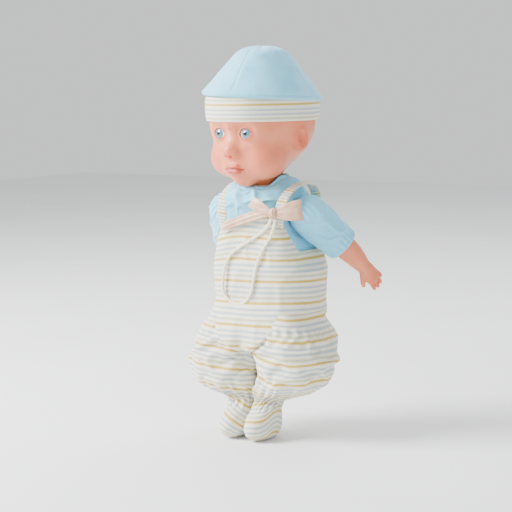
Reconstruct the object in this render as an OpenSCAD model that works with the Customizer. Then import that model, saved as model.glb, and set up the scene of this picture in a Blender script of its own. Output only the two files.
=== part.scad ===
// Soft-bodied baby doll in a knitted hat, T-shirt and striped dungarees, with a voice unit in its belly.
// The doll looks along -Y, its left hand is at +X and +Z is up. The origin is at the middle of its back.
// Soft pieces are plain closed solids; hard pieces have their true shape.

/* [Trunk] */
// Width of the stuffed trunk at the hips
trunk_w = 104; // [98:1:106]
// Depth of the stuffed trunk, front to back
trunk_d = 76; // [72:1:78]
// Thickness of the body cloth
cloth_t = 0.8; // [0.5:0.1:0.9]
// Thickness of the single-jersey T-shirt
shirt_t = 1.2; // [0.8:0.1:1.2]
// Thickness of the striped knit of the dungarees
romper_t = 1.6; // [1:0.1:1.6]
// Width of the shoulder straps
strap_w = 11; // [8:1:12]

/* [Head] */
// Turn of the head to the doll's right, in degrees
head_turn = 4; // [0:1:10]
// Wall of the rotocast vinyl head
vinyl_t = 3; // [2:0.5:3.5]
// Radius of an eye
eye_r = 10.5; // [9.5:0.5:11]
// Thickness of the folded hat band
band_t = 2.4; // [1.5:0.1:2.6]
// Thickness of the hat's jersey crown
crown_t = 1.6; // [1:0.1:2]

/* [Arms] */
// Sideways lean of each arm, in degrees
arm_splay = 25; // [22:1:30]
// Swing of the arms behind the trunk at rest, in degrees
arm_back = 42; // [20:1:45]
// Radius of the puffed sleeve head
sleeve_r = 19.5; // [18:0.5:19.5]

/* [Cord] */
// Diameter of the soother cord
cord_d = 3; // [2.5:0.5:3.5]

/* [Hidden] */
$fn = 48;

// Facets round a soft section
seg = 28;
// Air left between one cloth layer and the next
gap = 0.1;
// Growth of each cloth layer's inside over the stuffed trunk
shirt_in = cloth_t + 2 * gap;
romper_in = shirt_in + shirt_t + gap;
romper_out = romper_in + romper_t;
flap_t = 1;
tape_t = 0.8;
flap_in = romper_out + tape_t + gap;
// The trunk's centre line stands this far in front of the origin, which lies on the closure flap
axis_y = -(trunk_d / 2 + flap_in + flap_t);
kw = trunk_w / 104;
kd = trunk_d / 76;
// Trunk sections: height, half width, half depth, forward shift, squareness, pinch at the armpits
trunk = [[-42, 37, 27, 0, 2.6, 0], [-39, 45, 32, 0, 2.6, 0], [-33, 49.5, 36, 0, 2.6, 0],
         [-20, 52, 38, 0, 2.8, 0], [-5, 52, 38, 0, 3, 0], [5, 50.5, 37.5, 0, 3.2, 0.08],
         [14, 49, 37, 0, 3.6, 0.15], [24, 48, 36, 0, 4, 0.21],
         [34, 45, 35, 0, 4, 0.28], [50, 41.5, 33, -1.5, 3.8, 0.36], [58, 40, 31.5, -3, 3.6, 0.34],
         [66, 35, 29, -5, 3, 0.25], [71, 29, 26, -8, 2.6, 0.1]];
trunk_low = -42;
trunk_high = 71;
// Middle of each strap
strap_x = 33;
// The T-shirt's lower edge and the dungarees' upper edge lie on sections of the trunk
shirt_low = -33;
bib_high = 50;
armhole_low = 16;
armhole_w = 40;

// Lower and upper end of the back closure
closure_z = [-30, 48];

// Neck: the head's flange turns in the cloth casing, which a cable tie draws into the groove
neck_y = -10;
neck_groove_r = 15.5;
neck_flange_r = 20;
neck_bore_r = 12;
flange_z = [62, 66];
casing_z = [66.4, 73.4];
casing_r = [15.9, 17.2];
// Top of the cloth trunk, where the casing is sewn in
rim_z = trunk_high + cloth_t + gap;

// Voice unit, measured from the trunk's centre line
case_w = 58;
case_h = 46;
case_z = -11;
case_front_y = -31;
case_split_y = -19;
case_back_y = -9;
case_wall = 1.8;
// Room behind the case for its door tongue and screw head
pocket_spare = 3;
press_x = -15;
press_r = 9;
speaker_x = 13;
speaker_r = 13.5;
cell_r = 5.8;
cell_h = 5.4;
screw_r = 1.2;
door_screw_z = 6.8;
boss_x = case_w / 2 - 5;
boss_z = case_h / 2 - 5;
switch_travel = 4;
spring_r = 5.5;
spring_wire = 0.7;

// Shoulder joint, measured from the trunk's centre line
shoulder = [50, -2, 50];

// Bow: depth of the ribbon and middle of the knot
bow_y = -45.2;
knot = [37, -46.5, 54.5];

// Head sections: height, half width, half depth, forward shift
head = [[78.6, 15, 15, -14], [80.4, 22, 21, -12], [84, 29, 29, -9], [90, 37, 37, -6], [98, 43, 44, -3],
        [108, 47, 48.5, -1], [120, 49, 51, 1], [132, 50, 52.5, 2], [143, 50, 53, 3], [155, 48, 51.5, 3],
        [167, 44, 47, 3], [179, 36, 39, 3], [188, 27, 29, 3], [194, 17, 18, 3], [197, 6, 7, 3]];

// Eyes and ears, from the neck's axis
eye_place = [17, -35.5, 131.5];
ear_place = [47, 3, 123];
nose_place = [0, -48.5, 113.5];

// Hat sections: height, half width, half depth
crown = [[166.2, 55.5, 58.5], [170, 57, 60], [178, 50.5, 53.5], [190, 40.5, 43.5], [202, 30, 33],
         [210, 23, 25.5],
         [214, 16, 18], [215.4, 7, 8]];

// Trouser leg with a footed end: height, centre x, centre y, half width, half depth
leg = [[-170, 15, -38, 7, 16], [-167, 15, -38, 11.5, 22], [-160, 15, -38, 13.5, 25],
       [-150, 15, -36, 13.5, 23],
       [-141, 15, -31, 12.5, 17], [-135, 15, -27, 11, 12], [-131, 19, -26, 15.5, 15], [-126, 29, -23, 27, 24],
       [-117, 36, -21, 34, 29], [-105, 40, -19, 38.5, 32], [-93, 41.5, -17, 40, 33], [-86, 39, -10, 36, 31.5],
       [-80, 37, -6, 32.5, 32.5], [-70, 37, -6, 30.9, 30.9], [-62, 37, -6, 27, 27], [-55, 37, -6, 20.7, 20.7],
       [-50, 37, -6, 12.5, 12.5]];
leg_high = -50;

// Cord route on the bib, from the knot and back to it
cord_route = [[33.8, -44.6, 49.5], [29.5, -42.8, 44], [20, -40.9, 35.5], [6, -42, 26.5],
              [-8, -42.8, 18.5], [-18, -43.2, 10.5], [-24, -43.5, 0], [-27, -43.6, -14],
              [-26.5, -43.5, -26], [-20, -42.8, -34.5],
              [-11, -42.3, -37.5], [-1, -42.8, -35], [7, -43.5, -25.5], [10.5, -43.8, -13], [15.5, -43.6, 5],
              [23, -42.2, 20.5], [30, -40.8, 31.5], [35.8, -43, 42], [38.4, -44.8, 49.5]];
cord_sides = 8;

function power(v, e) = sign(v) * pow(abs(v), e);
// One section: [height, centre x, centre y, half width, half depth, squareness, pinch]
function section(s) = [for (i = [0:seg - 1])
    let (t = 360 * i / seg, n = 2 / (len(s) > 5 ? s[5] : 2.2), w = len(s) > 6 ? s[6] : 0)
    [s[1] + s[3] * power(cos(t), n) * (1 - w * (1 - abs(sin(t)))), s[2] + s[4] * power(sin(t), n), s[0]]];
// The same sections with both half sizes larger by g
function grown(list, g) = [for (s = list) [for (k = [0:len(s) - 1]) k == 3 || k == 4 ? s[k] + g : s[k]]];
// The same section at another height
function raised(s, z) = [z, s[1], s[2], s[3], s[4], s[5], s[6]];
function reversed(list) = [for (i = [len(list) - 1:-1:0]) list[i]];
function between(list, low, high) = [for (s = list) if (s[0] > low && s[0] < high) s];
function mixed(a, b, f) = [for (k = [0:len(a) - 1]) a[k] * (1 - f) + b[k] * f];
// The section of a list at any height
function at(list, z) = let (i = max([for (k = [0:len(list) - 2]) if (list[k][0] <= z || k == 0) k]))
    mixed(list[i], list[i + 1], (z - list[i][0]) / (list[i + 1][0] - list[i][0]));
function part_of(list, low, high) = concat([at(list, low)], between(list, low, high), [at(list, high)]);
function trunk_at(low, high, g) =
    grown(part_of([for (s = trunk) [s[0], 0, s[3], s[1] * kw, s[2] * kd, s[4], s[5]]], low, high), g);

// A solid through a run of sections; a run that turns back on itself makes a wall. Ends are closed
// unless it loops, and a run that starts downwards is flipped. The four-sided patches are cut along
// the same diagonal whichever way a run goes, so that one layer of cloth lies flat on the next.
module loft(list, flip = false, loop = false) {
    points = [for (s = list) each section(s)];
    n = len(list);
    last = loop ? n - 1 : n - 2;
    sides = [for (k = [0:last]) for (i = [0:seg - 1])
        let (next = (k + 1) % n, j = (i + 1) % seg, rises = list[next][0] > list[k][0])
        let (a = k * seg + i, b = k * seg + j, c = next * seg + j, d = next * seg + i)
        each (rises ? [[a, d, c], [a, c, b]] : [[a, d, b], [d, c, b]])];
    ends = loop ? [] : [[for (i = [0:seg - 1]) i], [for (i = [seg - 1:-1:0]) (n - 1) * seg + i]];
    faces = concat(sides, ends);
    polyhedron(points, flip ? [for (f = faces) reversed(f)] : faces, convexity = 6);
}

// A wall open at both ends
module open_wall(low_to_high, wall) {
    loft(concat(low_to_high, reversed(grown(low_to_high, -wall))), loop = true);
}

module on_trunk() {
    translate([0, axis_y, 0]) children();
}

// ---- Trunk ----

module torso_stuffing() {
    color("white")
    on_trunk()
    difference() {
        loft(trunk_at(trunk_low, trunk_high, 0));
        translate([0, neck_y, flange_z[0] - 1]) cylinder(h = 20, r = neck_flange_r + 1);
        translate([-case_w / 2 - 1, -trunk_d, case_z - case_h / 2 - 1])
            cube([case_w + 2, trunk_d + case_back_y + pocket_spare, case_h + 2]);
    }
}

module torso_cloth() {
    outer = trunk_at(trunk_low, trunk_high, cloth_t + gap);
    inner = trunk_at(trunk_low, trunk_high, gap);
    rim_r = neck_flange_r + 0.6;
    rim = [rim_z - cloth_t, 0, neck_y, rim_r, rim_r, 2, 0];
    rim_top = [rim_z, 0, neck_y, rim_r, rim_r, 2, 0];
    base = outer[0];
    base_low = [trunk_low - cloth_t - gap, 0, 0, base[3] - 2, base[4] - 2, base[5], 0];
    base_in = [trunk_low - gap, 0, 0, base[3] - 2.5, base[4] - 2.5, base[5], 0];
    shoulder_out = raised(outer[len(outer) - 1], rim_z);
    shoulder_in = raised(inner[len(inner) - 1], rim_z - cloth_t);
    color("linen")
    on_trunk()
    loft(concat([base_low], outer, [shoulder_out, rim_top, rim, shoulder_in], reversed(inner), [base_in]));
}

module neck_casing() {
    color("linen")
    translate([0, axis_y + neck_y, 0])
    rotate_extrude()
    polygon([[casing_r[0], casing_z[0]], [neck_flange_r + 0.5, casing_z[0]], [neck_flange_r + 0.5, rim_z],
             [neck_flange_r - 0.3, rim_z], [neck_flange_r - 0.3, casing_z[0] + 1],
             [casing_r[1], casing_z[0] + 1],
             [casing_r[1], casing_z[1]], [casing_r[0], casing_z[1]]]);
}

module neck_tie() {
    color("whitesmoke")
    translate([0, axis_y + neck_y, 68.6]) {
        difference() {
            cylinder(h = 3.6, r = casing_r[1] + 1.2);
            translate([0, 0, -1]) cylinder(h = 6, r = casing_r[1]);
        }
        translate([-2.5, casing_r[1] + 1, 0]) cube([5, 1.2, 3.6]);
    }
}

module shirt_body() {
    color("lightblue")
    on_trunk() open_wall(trunk_at(shirt_low, trunk_high, shirt_in + shirt_t), shirt_t);
}

module shirt_neckband() {
    color("lightblue")
    translate([0, axis_y + neck_y, trunk_high + cloth_t + 2 * gap])
    difference() {
        cylinder(h = 3.4, r = 24.5);
        translate([0, 0, -1]) cylinder(h = 6, r = 21.6);
    }
}

// ---- Dungarees ----

module romper_body() {
    outer = trunk_at(trunk_low, bib_high, romper_out);
    inner = reversed(trunk_at(trunk_low, bib_high, romper_in));
    base = outer[0];
    low = [trunk_low - romper_t - 1.2, 0, 0, base[3] - 4, base[4] - 4, base[5], 0];
    low_in = [trunk_low - 1.1, 0, 0, base[3] - 5, base[4] - 5, base[5], 0];
    color("oldlace")
    on_trunk()
    difference() {
        loft(concat([low], outer, inner, [low_in]));
        translate([-trunk_w, -armhole_w / 2, armhole_low]) cube([2 * trunk_w, armhole_w, bib_high]);
    }
}

// A strap over one shoulder, from bib to back panel
module strap() {
    wall = 1.5;
    line = [[-37.8, 50.2], [-37.6, 60], [-35.6, 67], [-31.5, 71.5], [-24, 73.6], [-8, 74.2], [8, 74],
            [18, 72.6], [25.5, 69], [30.6, 62], [33.8, 50.2]];
    // Under the top the strap's inside lies straight below; down the front and back it lies inwards
    function steep(p) = p[0] < -20 || p[0] > 15;
    function rise(p) = (p[1] - line[0][1]) / 24;
    function inside(p) = steep(p)
        ? p + [-sign(p[0]) * (wall + gap) * (1 - 0.6 * rise(p)), -1.2 * rise(p)]
        : p + [0, -wall];
    back = [for (i = [len(line) - 1:-1:0]) inside(line[i])];
    translate([strap_x - strap_w / 2, axis_y, 0])
    rotate([90, 0, 90])
    linear_extrude(strap_w) polygon(concat(line, back));
}

module strap_left() {
    color("oldlace") strap();
}

module strap_right() {
    color("oldlace") mirrored(-1) strap();
}

// A strip that follows the back of the dungarees
module back_strip(low, thick, width) {
    on_trunk()
    intersection() {
        open_wall(trunk_at(shirt_low, bib_high, low + thick), thick);
        translate([-width / 2, 0, closure_z[0]]) cube([width, trunk_d, closure_z[1] - closure_z[0]]);
    }
}

module closure_loop_tape() {
    color("white") back_strip(romper_out + gap / 2, tape_t - gap, 12);
}

module closure_hook_flap() {
    color("oldlace") back_strip(flap_in, flap_t, 20);
}

// ---- Bow and cord ----

module bow_blade(from, to, from_h, to_h) {
    translate([0, axis_y, 0])
    hull() {
        translate(from) cube([1, 2.4, from_h], center = true);
        translate(to) cube([1, 3, to_h], center = true);
    }
}

module bow_loop_left() {
    color("tan") bow_blade([32, bow_y, 54], [-27, -42.8, 39], 8, 11);
}

module bow_loop_right() {
    color("tan") bow_blade([42, bow_y, 55], [46, -44, 56], 8, 16);
}

module bow_tail() {
    color("tan") bow_blade([33, bow_y - 2.8, 59], [9, -45.4, 65], 4, 11);
}

module bow_knot() {
    color("tan") translate([knot[0], axis_y + knot[1], knot[2]]) sphere(r = 5);
}

// Cord: a round section carried along the route
function unit(v) = v / norm(v);
function heading(p, i) = unit(p[min(i + 1, len(p) - 1)] - p[max(i - 1, 0)]);
// Halfway point of a smooth curve through four neighbours
function halfway(p, i) = let (n = len(p) - 1)
    (9 * (p[i] + p[i + 1]) - p[max(i - 1, 0)] - p[min(i + 2, n)]) / 16;
function smooth(p) = concat([for (i = [0:len(p) - 2]) each [p[i], halfway(p, i)]], [p[len(p) - 1]]);

module swept_tube(path, r, sides, up) {
    n = len(path);
    points = [for (k = [0:n - 1]) let (t = heading(path, k), a = unit(cross(t, up)), b = cross(a, t))
        for (i = [0:sides - 1]) path[k] + r * (cos(360 * i / sides) * a + sin(360 * i / sides) * b)];
    walls = [for (k = [0:n - 2]) for (i = [0:sides - 1])
        let (a = k * sides + i, b = k * sides + (i + 1) % sides)
            each [[a, a + sides, b + sides], [a, b + sides, b]]];
    ends = [[for (i = [0:sides - 1]) i], [for (i = [sides - 1:-1:0]) (n - 1) * sides + i]];
    polyhedron(points, [for (f = concat(walls, ends)) reversed(f)], convexity = 8);
}

module cord_loop() {
    color("wheat") on_trunk() swept_tube(smooth(cord_route), cord_d / 2, cord_sides, [0, 1, 0]);
}

// ---- Voice unit ----

module at_case(y = 0) {
    translate([0, axis_y + y, case_z]) children();
}

// A disc or bar whose axis runs front to back, starting at y and going backwards
module back_to(length, r) {
    rotate([-90, 0, 0]) cylinder(h = length, r = r);
}

module at_bosses() {
    for (sx = [-1, 1])
        for (sz = [-1, 1])
            translate([sx * boss_x, 0, sz * boss_z]) children();
}

module voice_case_front() {
    depth = case_split_y - case_front_y;
    color("ivory")
    at_case(case_front_y)
    difference() {
        union() {
            difference() {
                translate([-case_w / 2, 0, -case_h / 2]) cube([case_w, depth, case_h]);
                translate([-case_w / 2 + case_wall, case_wall, -case_h / 2 + case_wall])
                    cube([case_w - 2 * case_wall, depth, case_h - 2 * case_wall]);
            }
            at_bosses() translate([0, 1, 0]) back_to(depth - 1, 3);
        }
        translate([press_x, -1, 0]) back_to(case_wall + 2, press_r + 0.3);
        at_bosses() translate([0, 3, 0]) back_to(depth, screw_r + 0.05);
        for (i = [-2:2]) translate([speaker_x - 8, -1, i * 4 - 0.8]) cube([16, 4, 1.6]);
    }
}

module voice_case_back() {
    depth = case_back_y - case_split_y;
    color("ivory")
    at_case(case_split_y)
    difference() {
        union() {
            difference() {
                translate([-case_w / 2, 0, -case_h / 2]) cube([case_w, depth, case_h]);
                translate([-case_w / 2 + case_wall, -1, -case_h / 2 + case_wall])
                    cube([case_w - 2 * case_wall, depth + 1 - case_wall, case_h - 2 * case_wall]);
            }
            at_bosses() back_to(depth - 1, 3);
            translate([0, depth - 5, door_screw_z]) back_to(4, 3);
        }
        at_bosses() translate([0, -1, 0]) back_to(depth + 2, screw_r + 0.3);
        at_bosses() translate([0, depth - 2.4, 0]) back_to(4, 2.5);
        translate([-20, depth - 4, -14]) cube([40, 6, 16]);
        translate([0, depth - 6, door_screw_z]) back_to(8, screw_r + 0.05);
        translate([-8, depth - 4, 14.6]) cube([6 + switch_travel, 6, 3]);
    }
}

module case_screws() {
    color("silver")
    at_case(case_back_y - 2.3)
    at_bosses() {
        translate([0, -14, 0]) back_to(14.2, screw_r);
        back_to(1.4, 2.3);
    }
}

module battery_door() {
    color("ivory")
    at_case(case_back_y - 1.6)
    difference() {
        union() {
            translate([-19.8, 0, -13.8]) cube([39.6, 1.6, 15.6]);
            translate([-4, 1.7, -13.8]) cube([8, 1.2, 24.4]);
        }
        translate([0, -1, door_screw_z]) back_to(6, screw_r + 0.2);
    }
}

module battery_door_screw() {
    color("silver")
    at_case(case_back_y) {
        translate([0, -4.4, door_screw_z]) back_to(6, screw_r);
        translate([0, 1.35, door_screw_z]) back_to(1.1, 2.2);
    }
}

module button_cells() {
    color("silver")
    at_case(case_back_y - 2 - cell_h)
    for (i = [-1:1]) translate([i * (2 * cell_r + 0.8), 0, -6]) {
        back_to(cell_h - 0.6, cell_r);
        back_to(cell_h, cell_r - 1);
    }
}

module battery_contacts() {
    color("gold")
    at_case(case_back_y - 2.5 - cell_h)
    for (i = [-1:1]) translate([i * (2 * cell_r + 0.8) - 3, 0, -9]) cube([6, 0.4, 6]);
}

module circuit_board() {
    color("green")
    at_case(case_split_y - 0.6) {
        difference() {
            translate([-26, 0, -20]) cube([52, 1.2, 40]);
            at_bosses() translate([0, -1, 0]) back_to(4, 3.4);
        }
        translate([4, -1.2, 10]) cube([8, 1.2, 8]);
        translate([press_x - 3, -2, -3]) cube([6, 2, 6]);
    }
}

module speaker() {
    color("dimgray")
    at_case(case_front_y + case_wall)
    translate([speaker_x, 0, 0])
    rotate([-90, 0, 0])
    rotate_extrude()
    polygon([[0, 1.4], [4, 1.4], [11, 0.4], [12, 0], [speaker_r, 0], [speaker_r, 1.2], [10, 3.2], [8, 3.2],
             [8, 6.4], [0, 6.4]]);
}

module press_button() {
    color("salmon")
    at_case()
    translate([press_x, 0, 0])
    rotate([-90, 0, 0])
    rotate_extrude()
    polygon([[0, case_front_y - 2.6], [4, case_front_y - 2.4], [7.6, case_front_y - 1.6],
             [press_r, case_front_y],
             [press_r, case_front_y + 2], [press_r + 1.4, case_front_y + 2],
             [press_r + 1.4, case_front_y + 3.2],
             [3, case_front_y + 3.2], [3, case_front_y + 7.2], [0, case_front_y + 7.2]]);
}

module press_spring() {
    turns = 3;
    start_y = case_front_y + 3.2 + spring_wire / 2;
    height = case_split_y - 0.6 - spring_wire / 2 - start_y;
    path = [for (i = [0:turns * 12]) let (t = i / 12)
        [spring_r * cos(360 * t), start_y + height * t / turns, spring_r * sin(360 * t)]];
    color("silver") at_case() translate([press_x, 0, 0]) swept_tube(path, spring_wire / 2, 6, [0, 1, 0]);
}

module switch_slider() {
    color("black")
    at_case(case_back_y) {
        translate([-7.8, -2.5, 14.8]) cube([5.6, 3.4, 2.6]);
        translate([-10, -3.9, 13.4]) cube([9.6, 1.4, 5.4]);
    }
}

// ---- Head and hat, in the head's own place: over the neck, turned to the doll's right ----

module on_neck() {
    translate([0, axis_y + neck_y, 0]) rotate([0, 0, -head_turn]) children();
}

// The same shape on the left, or mirrored to the right for a side of -1
module mirrored(side) {
    mirror([side < 0 ? 1 : 0, 0, 0]) children();
}

module head_shell() {
    skull = [for (s = head) [s[0], 0, s[3], s[1], s[2], 2.15, 0]];
    hollow = part_of(grown(skull, -vinyl_t), 84, 193);
    neck = [[flange_z[0], neck_flange_r], [flange_z[1], neck_flange_r], [flange_z[1], neck_groove_r],
            [74, neck_groove_r], [76.5, neck_groove_r + 1.5]];
    outer = concat([for (p = neck) round_section(p[0], p[1])], skull);
    inner = concat([for (z = [flange_z[0], 80]) round_section(z, neck_bore_r)], hollow);
    color("peachpuff")
    on_neck()
    difference() {
        union() {
            loft(concat(reversed(outer), inner), flip = true);
            translate(nose_place) sphere(r = 5.5);
            for (side = [-1, 1]) mirrored(side) translate(ear_place) sphere(r = 8);
        }
        // The nose and ears stay solid outside the hollow of the skull
        translate([0, 1, 128]) sphere(r = 43);
        for (side = [-1, 1]) mirrored(side) translate(eye_place) {
            sphere(r = eye_r + gap);
            rotate([90, 0, 0]) cylinder(h = 30, r = eye_r - 2.5);
        }
    }
}

module eye(side) {
    color("white") on_neck() mirrored(side) translate(eye_place) sphere(r = eye_r);
}

module eye_left() {
    eye(1);
}

module eye_right() {
    eye(-1);
}

module hat_crown() {
    outer = [for (s = crown) [s[0], 0, 2, s[1], s[2], 2.1, 0]];
    inner = part_of(grown(outer, -crown_t), crown[0][0], 212);
    color("skyblue") on_neck() loft(concat(reversed(outer), inner), flip = true);
}

module hat_band() {
    band = [[143, 53.2, 56.4], [146, 54, 57.2], [160, 54.4, 57.6], [166, 54, 57.2]];
    wall = [for (s = band) [s[0], 0, 3, s[1], s[2], 2.1, 0]];
    color("oldlace") on_neck() open_wall(wall, band_t);
}

// ---- Arms, drawn upwards from the shoulder and then turned down ----

function round_section(z, r) = [z, 0, 0, r, r, 2, 0];
// Sections of a dome of radius r that closes below its centre
function dome(r) = [for (a = [84, 66, 46, 24]) round_section(-r * sin(a), r * cos(a))];

module left_arm() {
    translate([shoulder[0], axis_y + shoulder[1], shoulder[2]])
    rotate([arm_back, 0, 0])
    rotate([0, -arm_splay, 0])
    rotate([180, 0, 0])
    children();
}

module upper_arm() {
    r = sleeve_r - 2;
    run = [[0, r], [14, 15.5], [30, 13.6], [38, 12.4], [38, 10.3], [30, 10.3]];
    left_arm() loft(concat(dome(r), [for (p = run) round_section(p[0], p[1])]));
}

module forearm() {
    // Distance along the arm, forward shift, half width, half thickness
    run = [[30.4, 0, 10, 10], [38.2, 0, 10, 10], [38.6, 0, 11.6, 11.6], [48, 0, 12, 12], [60, 0, 11.2, 11],
           [72, 1, 9.4, 8.8], [79, 2, 8, 7.2], [86, 3, 10, 7.4], [94, 4, 11, 7], [101, 5, 8.4, 5.4],
           [105, 5, 4, 3]];
    left_arm() loft([for (p = run) [p[0], 0, p[1], p[3], p[2], 2.2, 0]]);
}

module arm_tie() {
    left_arm()
    translate([0, 0, 31])
    difference() {
        cylinder(h = 3, r = 15);
        translate([0, 0, -1]) cylinder(h = 5, r = 13.9);
    }
}

module sleeve() {
    wall = 1.2;
    run = [[0, sleeve_r], [10, sleeve_r - 1], [26, sleeve_r - 2.5], [44, 16.4], [46, 16.2]];
    hem = [for (p = run) round_section(p[0], p[1])];
    inside = reversed(concat(dome(sleeve_r - wall), grown(hem, -wall)));
    left_arm() loft(concat(dome(sleeve_r), hem, inside));
}

module upper_arm_left() {
    color("linen") upper_arm();
}

module forearm_left() {
    color("peachpuff") forearm();
}

module arm_tie_left() {
    color("whitesmoke") arm_tie();
}

module sleeve_left() {
    color("lightblue") sleeve();
}

module upper_arm_right() {
    color("linen") mirrored(-1) upper_arm();
}

module forearm_right() {
    color("peachpuff") mirrored(-1) forearm();
}

module arm_tie_right() {
    color("whitesmoke") mirrored(-1) arm_tie();
}

module sleeve_right() {
    color("lightblue") mirrored(-1) sleeve();
}

// ---- Legs ----

module romper_leg() {
    inner = grown(part_of(leg, -168, leg_high), -romper_t);
    on_trunk() loft(concat(leg, reversed(inner)));
}

module thigh() {
    socket = [[-112, 33, -22, 16.3, 15.3], [-120, 30, -22, 16.3, 15.3]];
    outer = [[-120, 30, -22, 19, 18], [-114, 33, -21, 22, 21], [-105, 38, -19, 28, 25],
             [-93, 39, -17, 31, 28], [-86, 38, -10, 31, 29], [-80, 37, -6, 30.4, 30.4],
             [-70, 37, -6, 28.9, 28.9], [-62, 37, -6, 25, 25], [-55, 37, -6, 18.6, 18.6],
             [-51.4, 37, -6, 12, 12]];
    on_trunk() loft(concat(socket, outer));
}

module lower_leg() {
    on_trunk()
    loft([[-168, 15, -38, 5, 13], [-165, 15, -38, 9, 19], [-160, 15, -38, 11.5, 23],
          [-150, 15, -36, 11.5, 20.5], [-141, 15, -31, 10.5, 15], [-135, 15, -27, 9.2, 10],
          [-131, 19, -25.5, 11.5, 11.5], [-125, 25, -23, 15.5, 14.5], [-120.3, 30, -22, 16.5, 15.6],
          [-119.8, 30, -22, 16, 15], [-112.5, 33, -22, 16, 15]]);
}

module leg_tie() {
    wall = 1.2;
    ring = [[-118.2, 30.9, -21.7, 21.6, 20.6, 2.2, 0], [-115.2, 32.4, -21.2, 23.2, 22.2, 2.2, 0]];
    on_trunk() open_wall(ring, wall);
}

module thigh_left() {
    color("linen") thigh();
}

module lower_leg_left() {
    color("peachpuff") lower_leg();
}

module leg_tie_left() {
    color("whitesmoke") leg_tie();
}

module romper_leg_left() {
    color("oldlace") romper_leg();
}

module thigh_right() {
    color("linen") mirrored(-1) thigh();
}

module lower_leg_right() {
    color("peachpuff") mirrored(-1) lower_leg();
}

module leg_tie_right() {
    color("whitesmoke") mirrored(-1) leg_tie();
}

module romper_leg_right() {
    color("oldlace") mirrored(-1) romper_leg();
}

torso_stuffing();
torso_cloth();
neck_casing();
neck_tie();
shirt_body();
shirt_neckband();
romper_body();
strap_left();
strap_right();
closure_loop_tape();
closure_hook_flap();
bow_loop_left();
bow_loop_right();
bow_tail();
bow_knot();
cord_loop();
voice_case_front();
voice_case_back();
case_screws();
battery_door();
battery_door_screw();
button_cells();
battery_contacts();
circuit_board();
speaker();
press_spring();
press_button();
switch_slider();
head_shell();
eye_left();
eye_right();
hat_crown();
hat_band();
upper_arm_left();
forearm_left();
arm_tie_left();
sleeve_left();
upper_arm_right();
forearm_right();
arm_tie_right();
sleeve_right();
thigh_left();
lower_leg_left();
leg_tie_left();
romper_leg_left();
thigh_right();
lower_leg_right();
leg_tie_right();
romper_leg_right();
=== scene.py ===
"""Soft-bodied baby doll in a jersey hat, T-shirt and striped dungarees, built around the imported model."""

import bpy
import numpy as np
from mathutils import Matrix, Vector


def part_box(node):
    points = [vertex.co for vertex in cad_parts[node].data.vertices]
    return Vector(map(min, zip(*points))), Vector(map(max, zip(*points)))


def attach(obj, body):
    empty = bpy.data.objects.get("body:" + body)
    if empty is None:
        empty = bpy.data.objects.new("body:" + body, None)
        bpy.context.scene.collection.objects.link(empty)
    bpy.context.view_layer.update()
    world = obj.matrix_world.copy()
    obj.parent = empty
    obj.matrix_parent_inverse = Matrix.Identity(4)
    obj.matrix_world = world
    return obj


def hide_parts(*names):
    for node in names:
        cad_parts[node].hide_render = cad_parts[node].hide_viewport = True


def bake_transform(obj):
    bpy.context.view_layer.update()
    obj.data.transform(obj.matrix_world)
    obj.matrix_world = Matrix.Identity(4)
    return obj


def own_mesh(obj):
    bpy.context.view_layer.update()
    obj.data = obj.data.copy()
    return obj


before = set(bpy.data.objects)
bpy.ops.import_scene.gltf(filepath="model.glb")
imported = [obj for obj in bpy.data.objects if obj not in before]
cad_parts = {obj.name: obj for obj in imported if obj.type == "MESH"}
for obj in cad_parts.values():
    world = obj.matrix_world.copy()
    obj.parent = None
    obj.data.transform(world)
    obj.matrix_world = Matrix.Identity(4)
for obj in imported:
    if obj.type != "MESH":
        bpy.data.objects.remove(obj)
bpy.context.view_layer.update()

# ---- Camera, floor and light ---------------------------------------------------------------------
# The doll stands on a pale studio floor and is seen from its left, a little above the middle.
# One broad soft light stands in front of it; weaker ones fill the shadow side and lift the outline.

MM = 0.001
scene = bpy.context.scene
collection = scene.collection


def linear(code):
    """Linear RGBA of an sRGB hex colour."""
    srgb = np.array([int(code[k:k + 2], 16) for k in (1, 3, 5)]) / 255
    rgb = np.where(srgb <= 0.04045, srgb / 12.92, ((srgb + 0.055) / 1.055) ** 2.4)
    return (*rgb, 1.0)


def add(tree, kind, values=None, links=None, stops=None, **settings):
    """Add a node: its own settings, the values of its sockets, the outputs linked to them, ramp stops."""
    made = tree.nodes.new("ShaderNode" + kind)
    for name, value in settings.items():
        setattr(made, name, value)
    for key, value in (values or {}).items():
        made.inputs[key].default_value = value
    for key, source in (links or {}).items():
        tree.links.new(source, made.inputs[key])
    for k, (place, colour) in enumerate(stops or []):
        element = made.color_ramp.elements[k] if k < 2 else made.color_ramp.elements.new(place)
        element.position = place
        element.color = linear(colour)
    return made


def new_material(name, **values):
    """An empty material with one shader on its output; gives the material, its tree and the shader."""
    made = bpy.data.materials.new(name)
    made.use_nodes = True
    tree = made.node_tree
    tree.nodes.clear()
    shader = add(tree, "BsdfPrincipled", {key.replace("_", " "): value for key, value in values.items()})
    add(tree, "OutputMaterial", links={"Surface": shader.outputs["BSDF"]})
    return made, tree, shader


def noise(tree, size, detail, place=None, **values):
    """Noise texture with grains of about size mm, in the object's coordinates unless a place is given."""
    if place is None:
        place = add(tree, "TexCoord").outputs["Object"]
    made = add(tree, "TexNoise", {"Scale": 1 / (size * MM), "Detail": detail, **values}, {"Vector": place})
    return made.outputs["Fac"]


# A wave texture of scale 1 repeats every 2 pi / 20
WAVE_PERIOD = 0.314


def bands(tree, place, pitch, axis, distortion, detail=1.0):
    """Wave texture whose bands lie pitch mm apart along an axis, bent a little by the distortion."""
    values = {"Scale": WAVE_PERIOD / (pitch * MM), "Distortion": distortion, "Detail": detail}
    return add(tree, "TexWave", values, {"Vector": place}, bands_direction=axis).outputs["Fac"]


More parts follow.
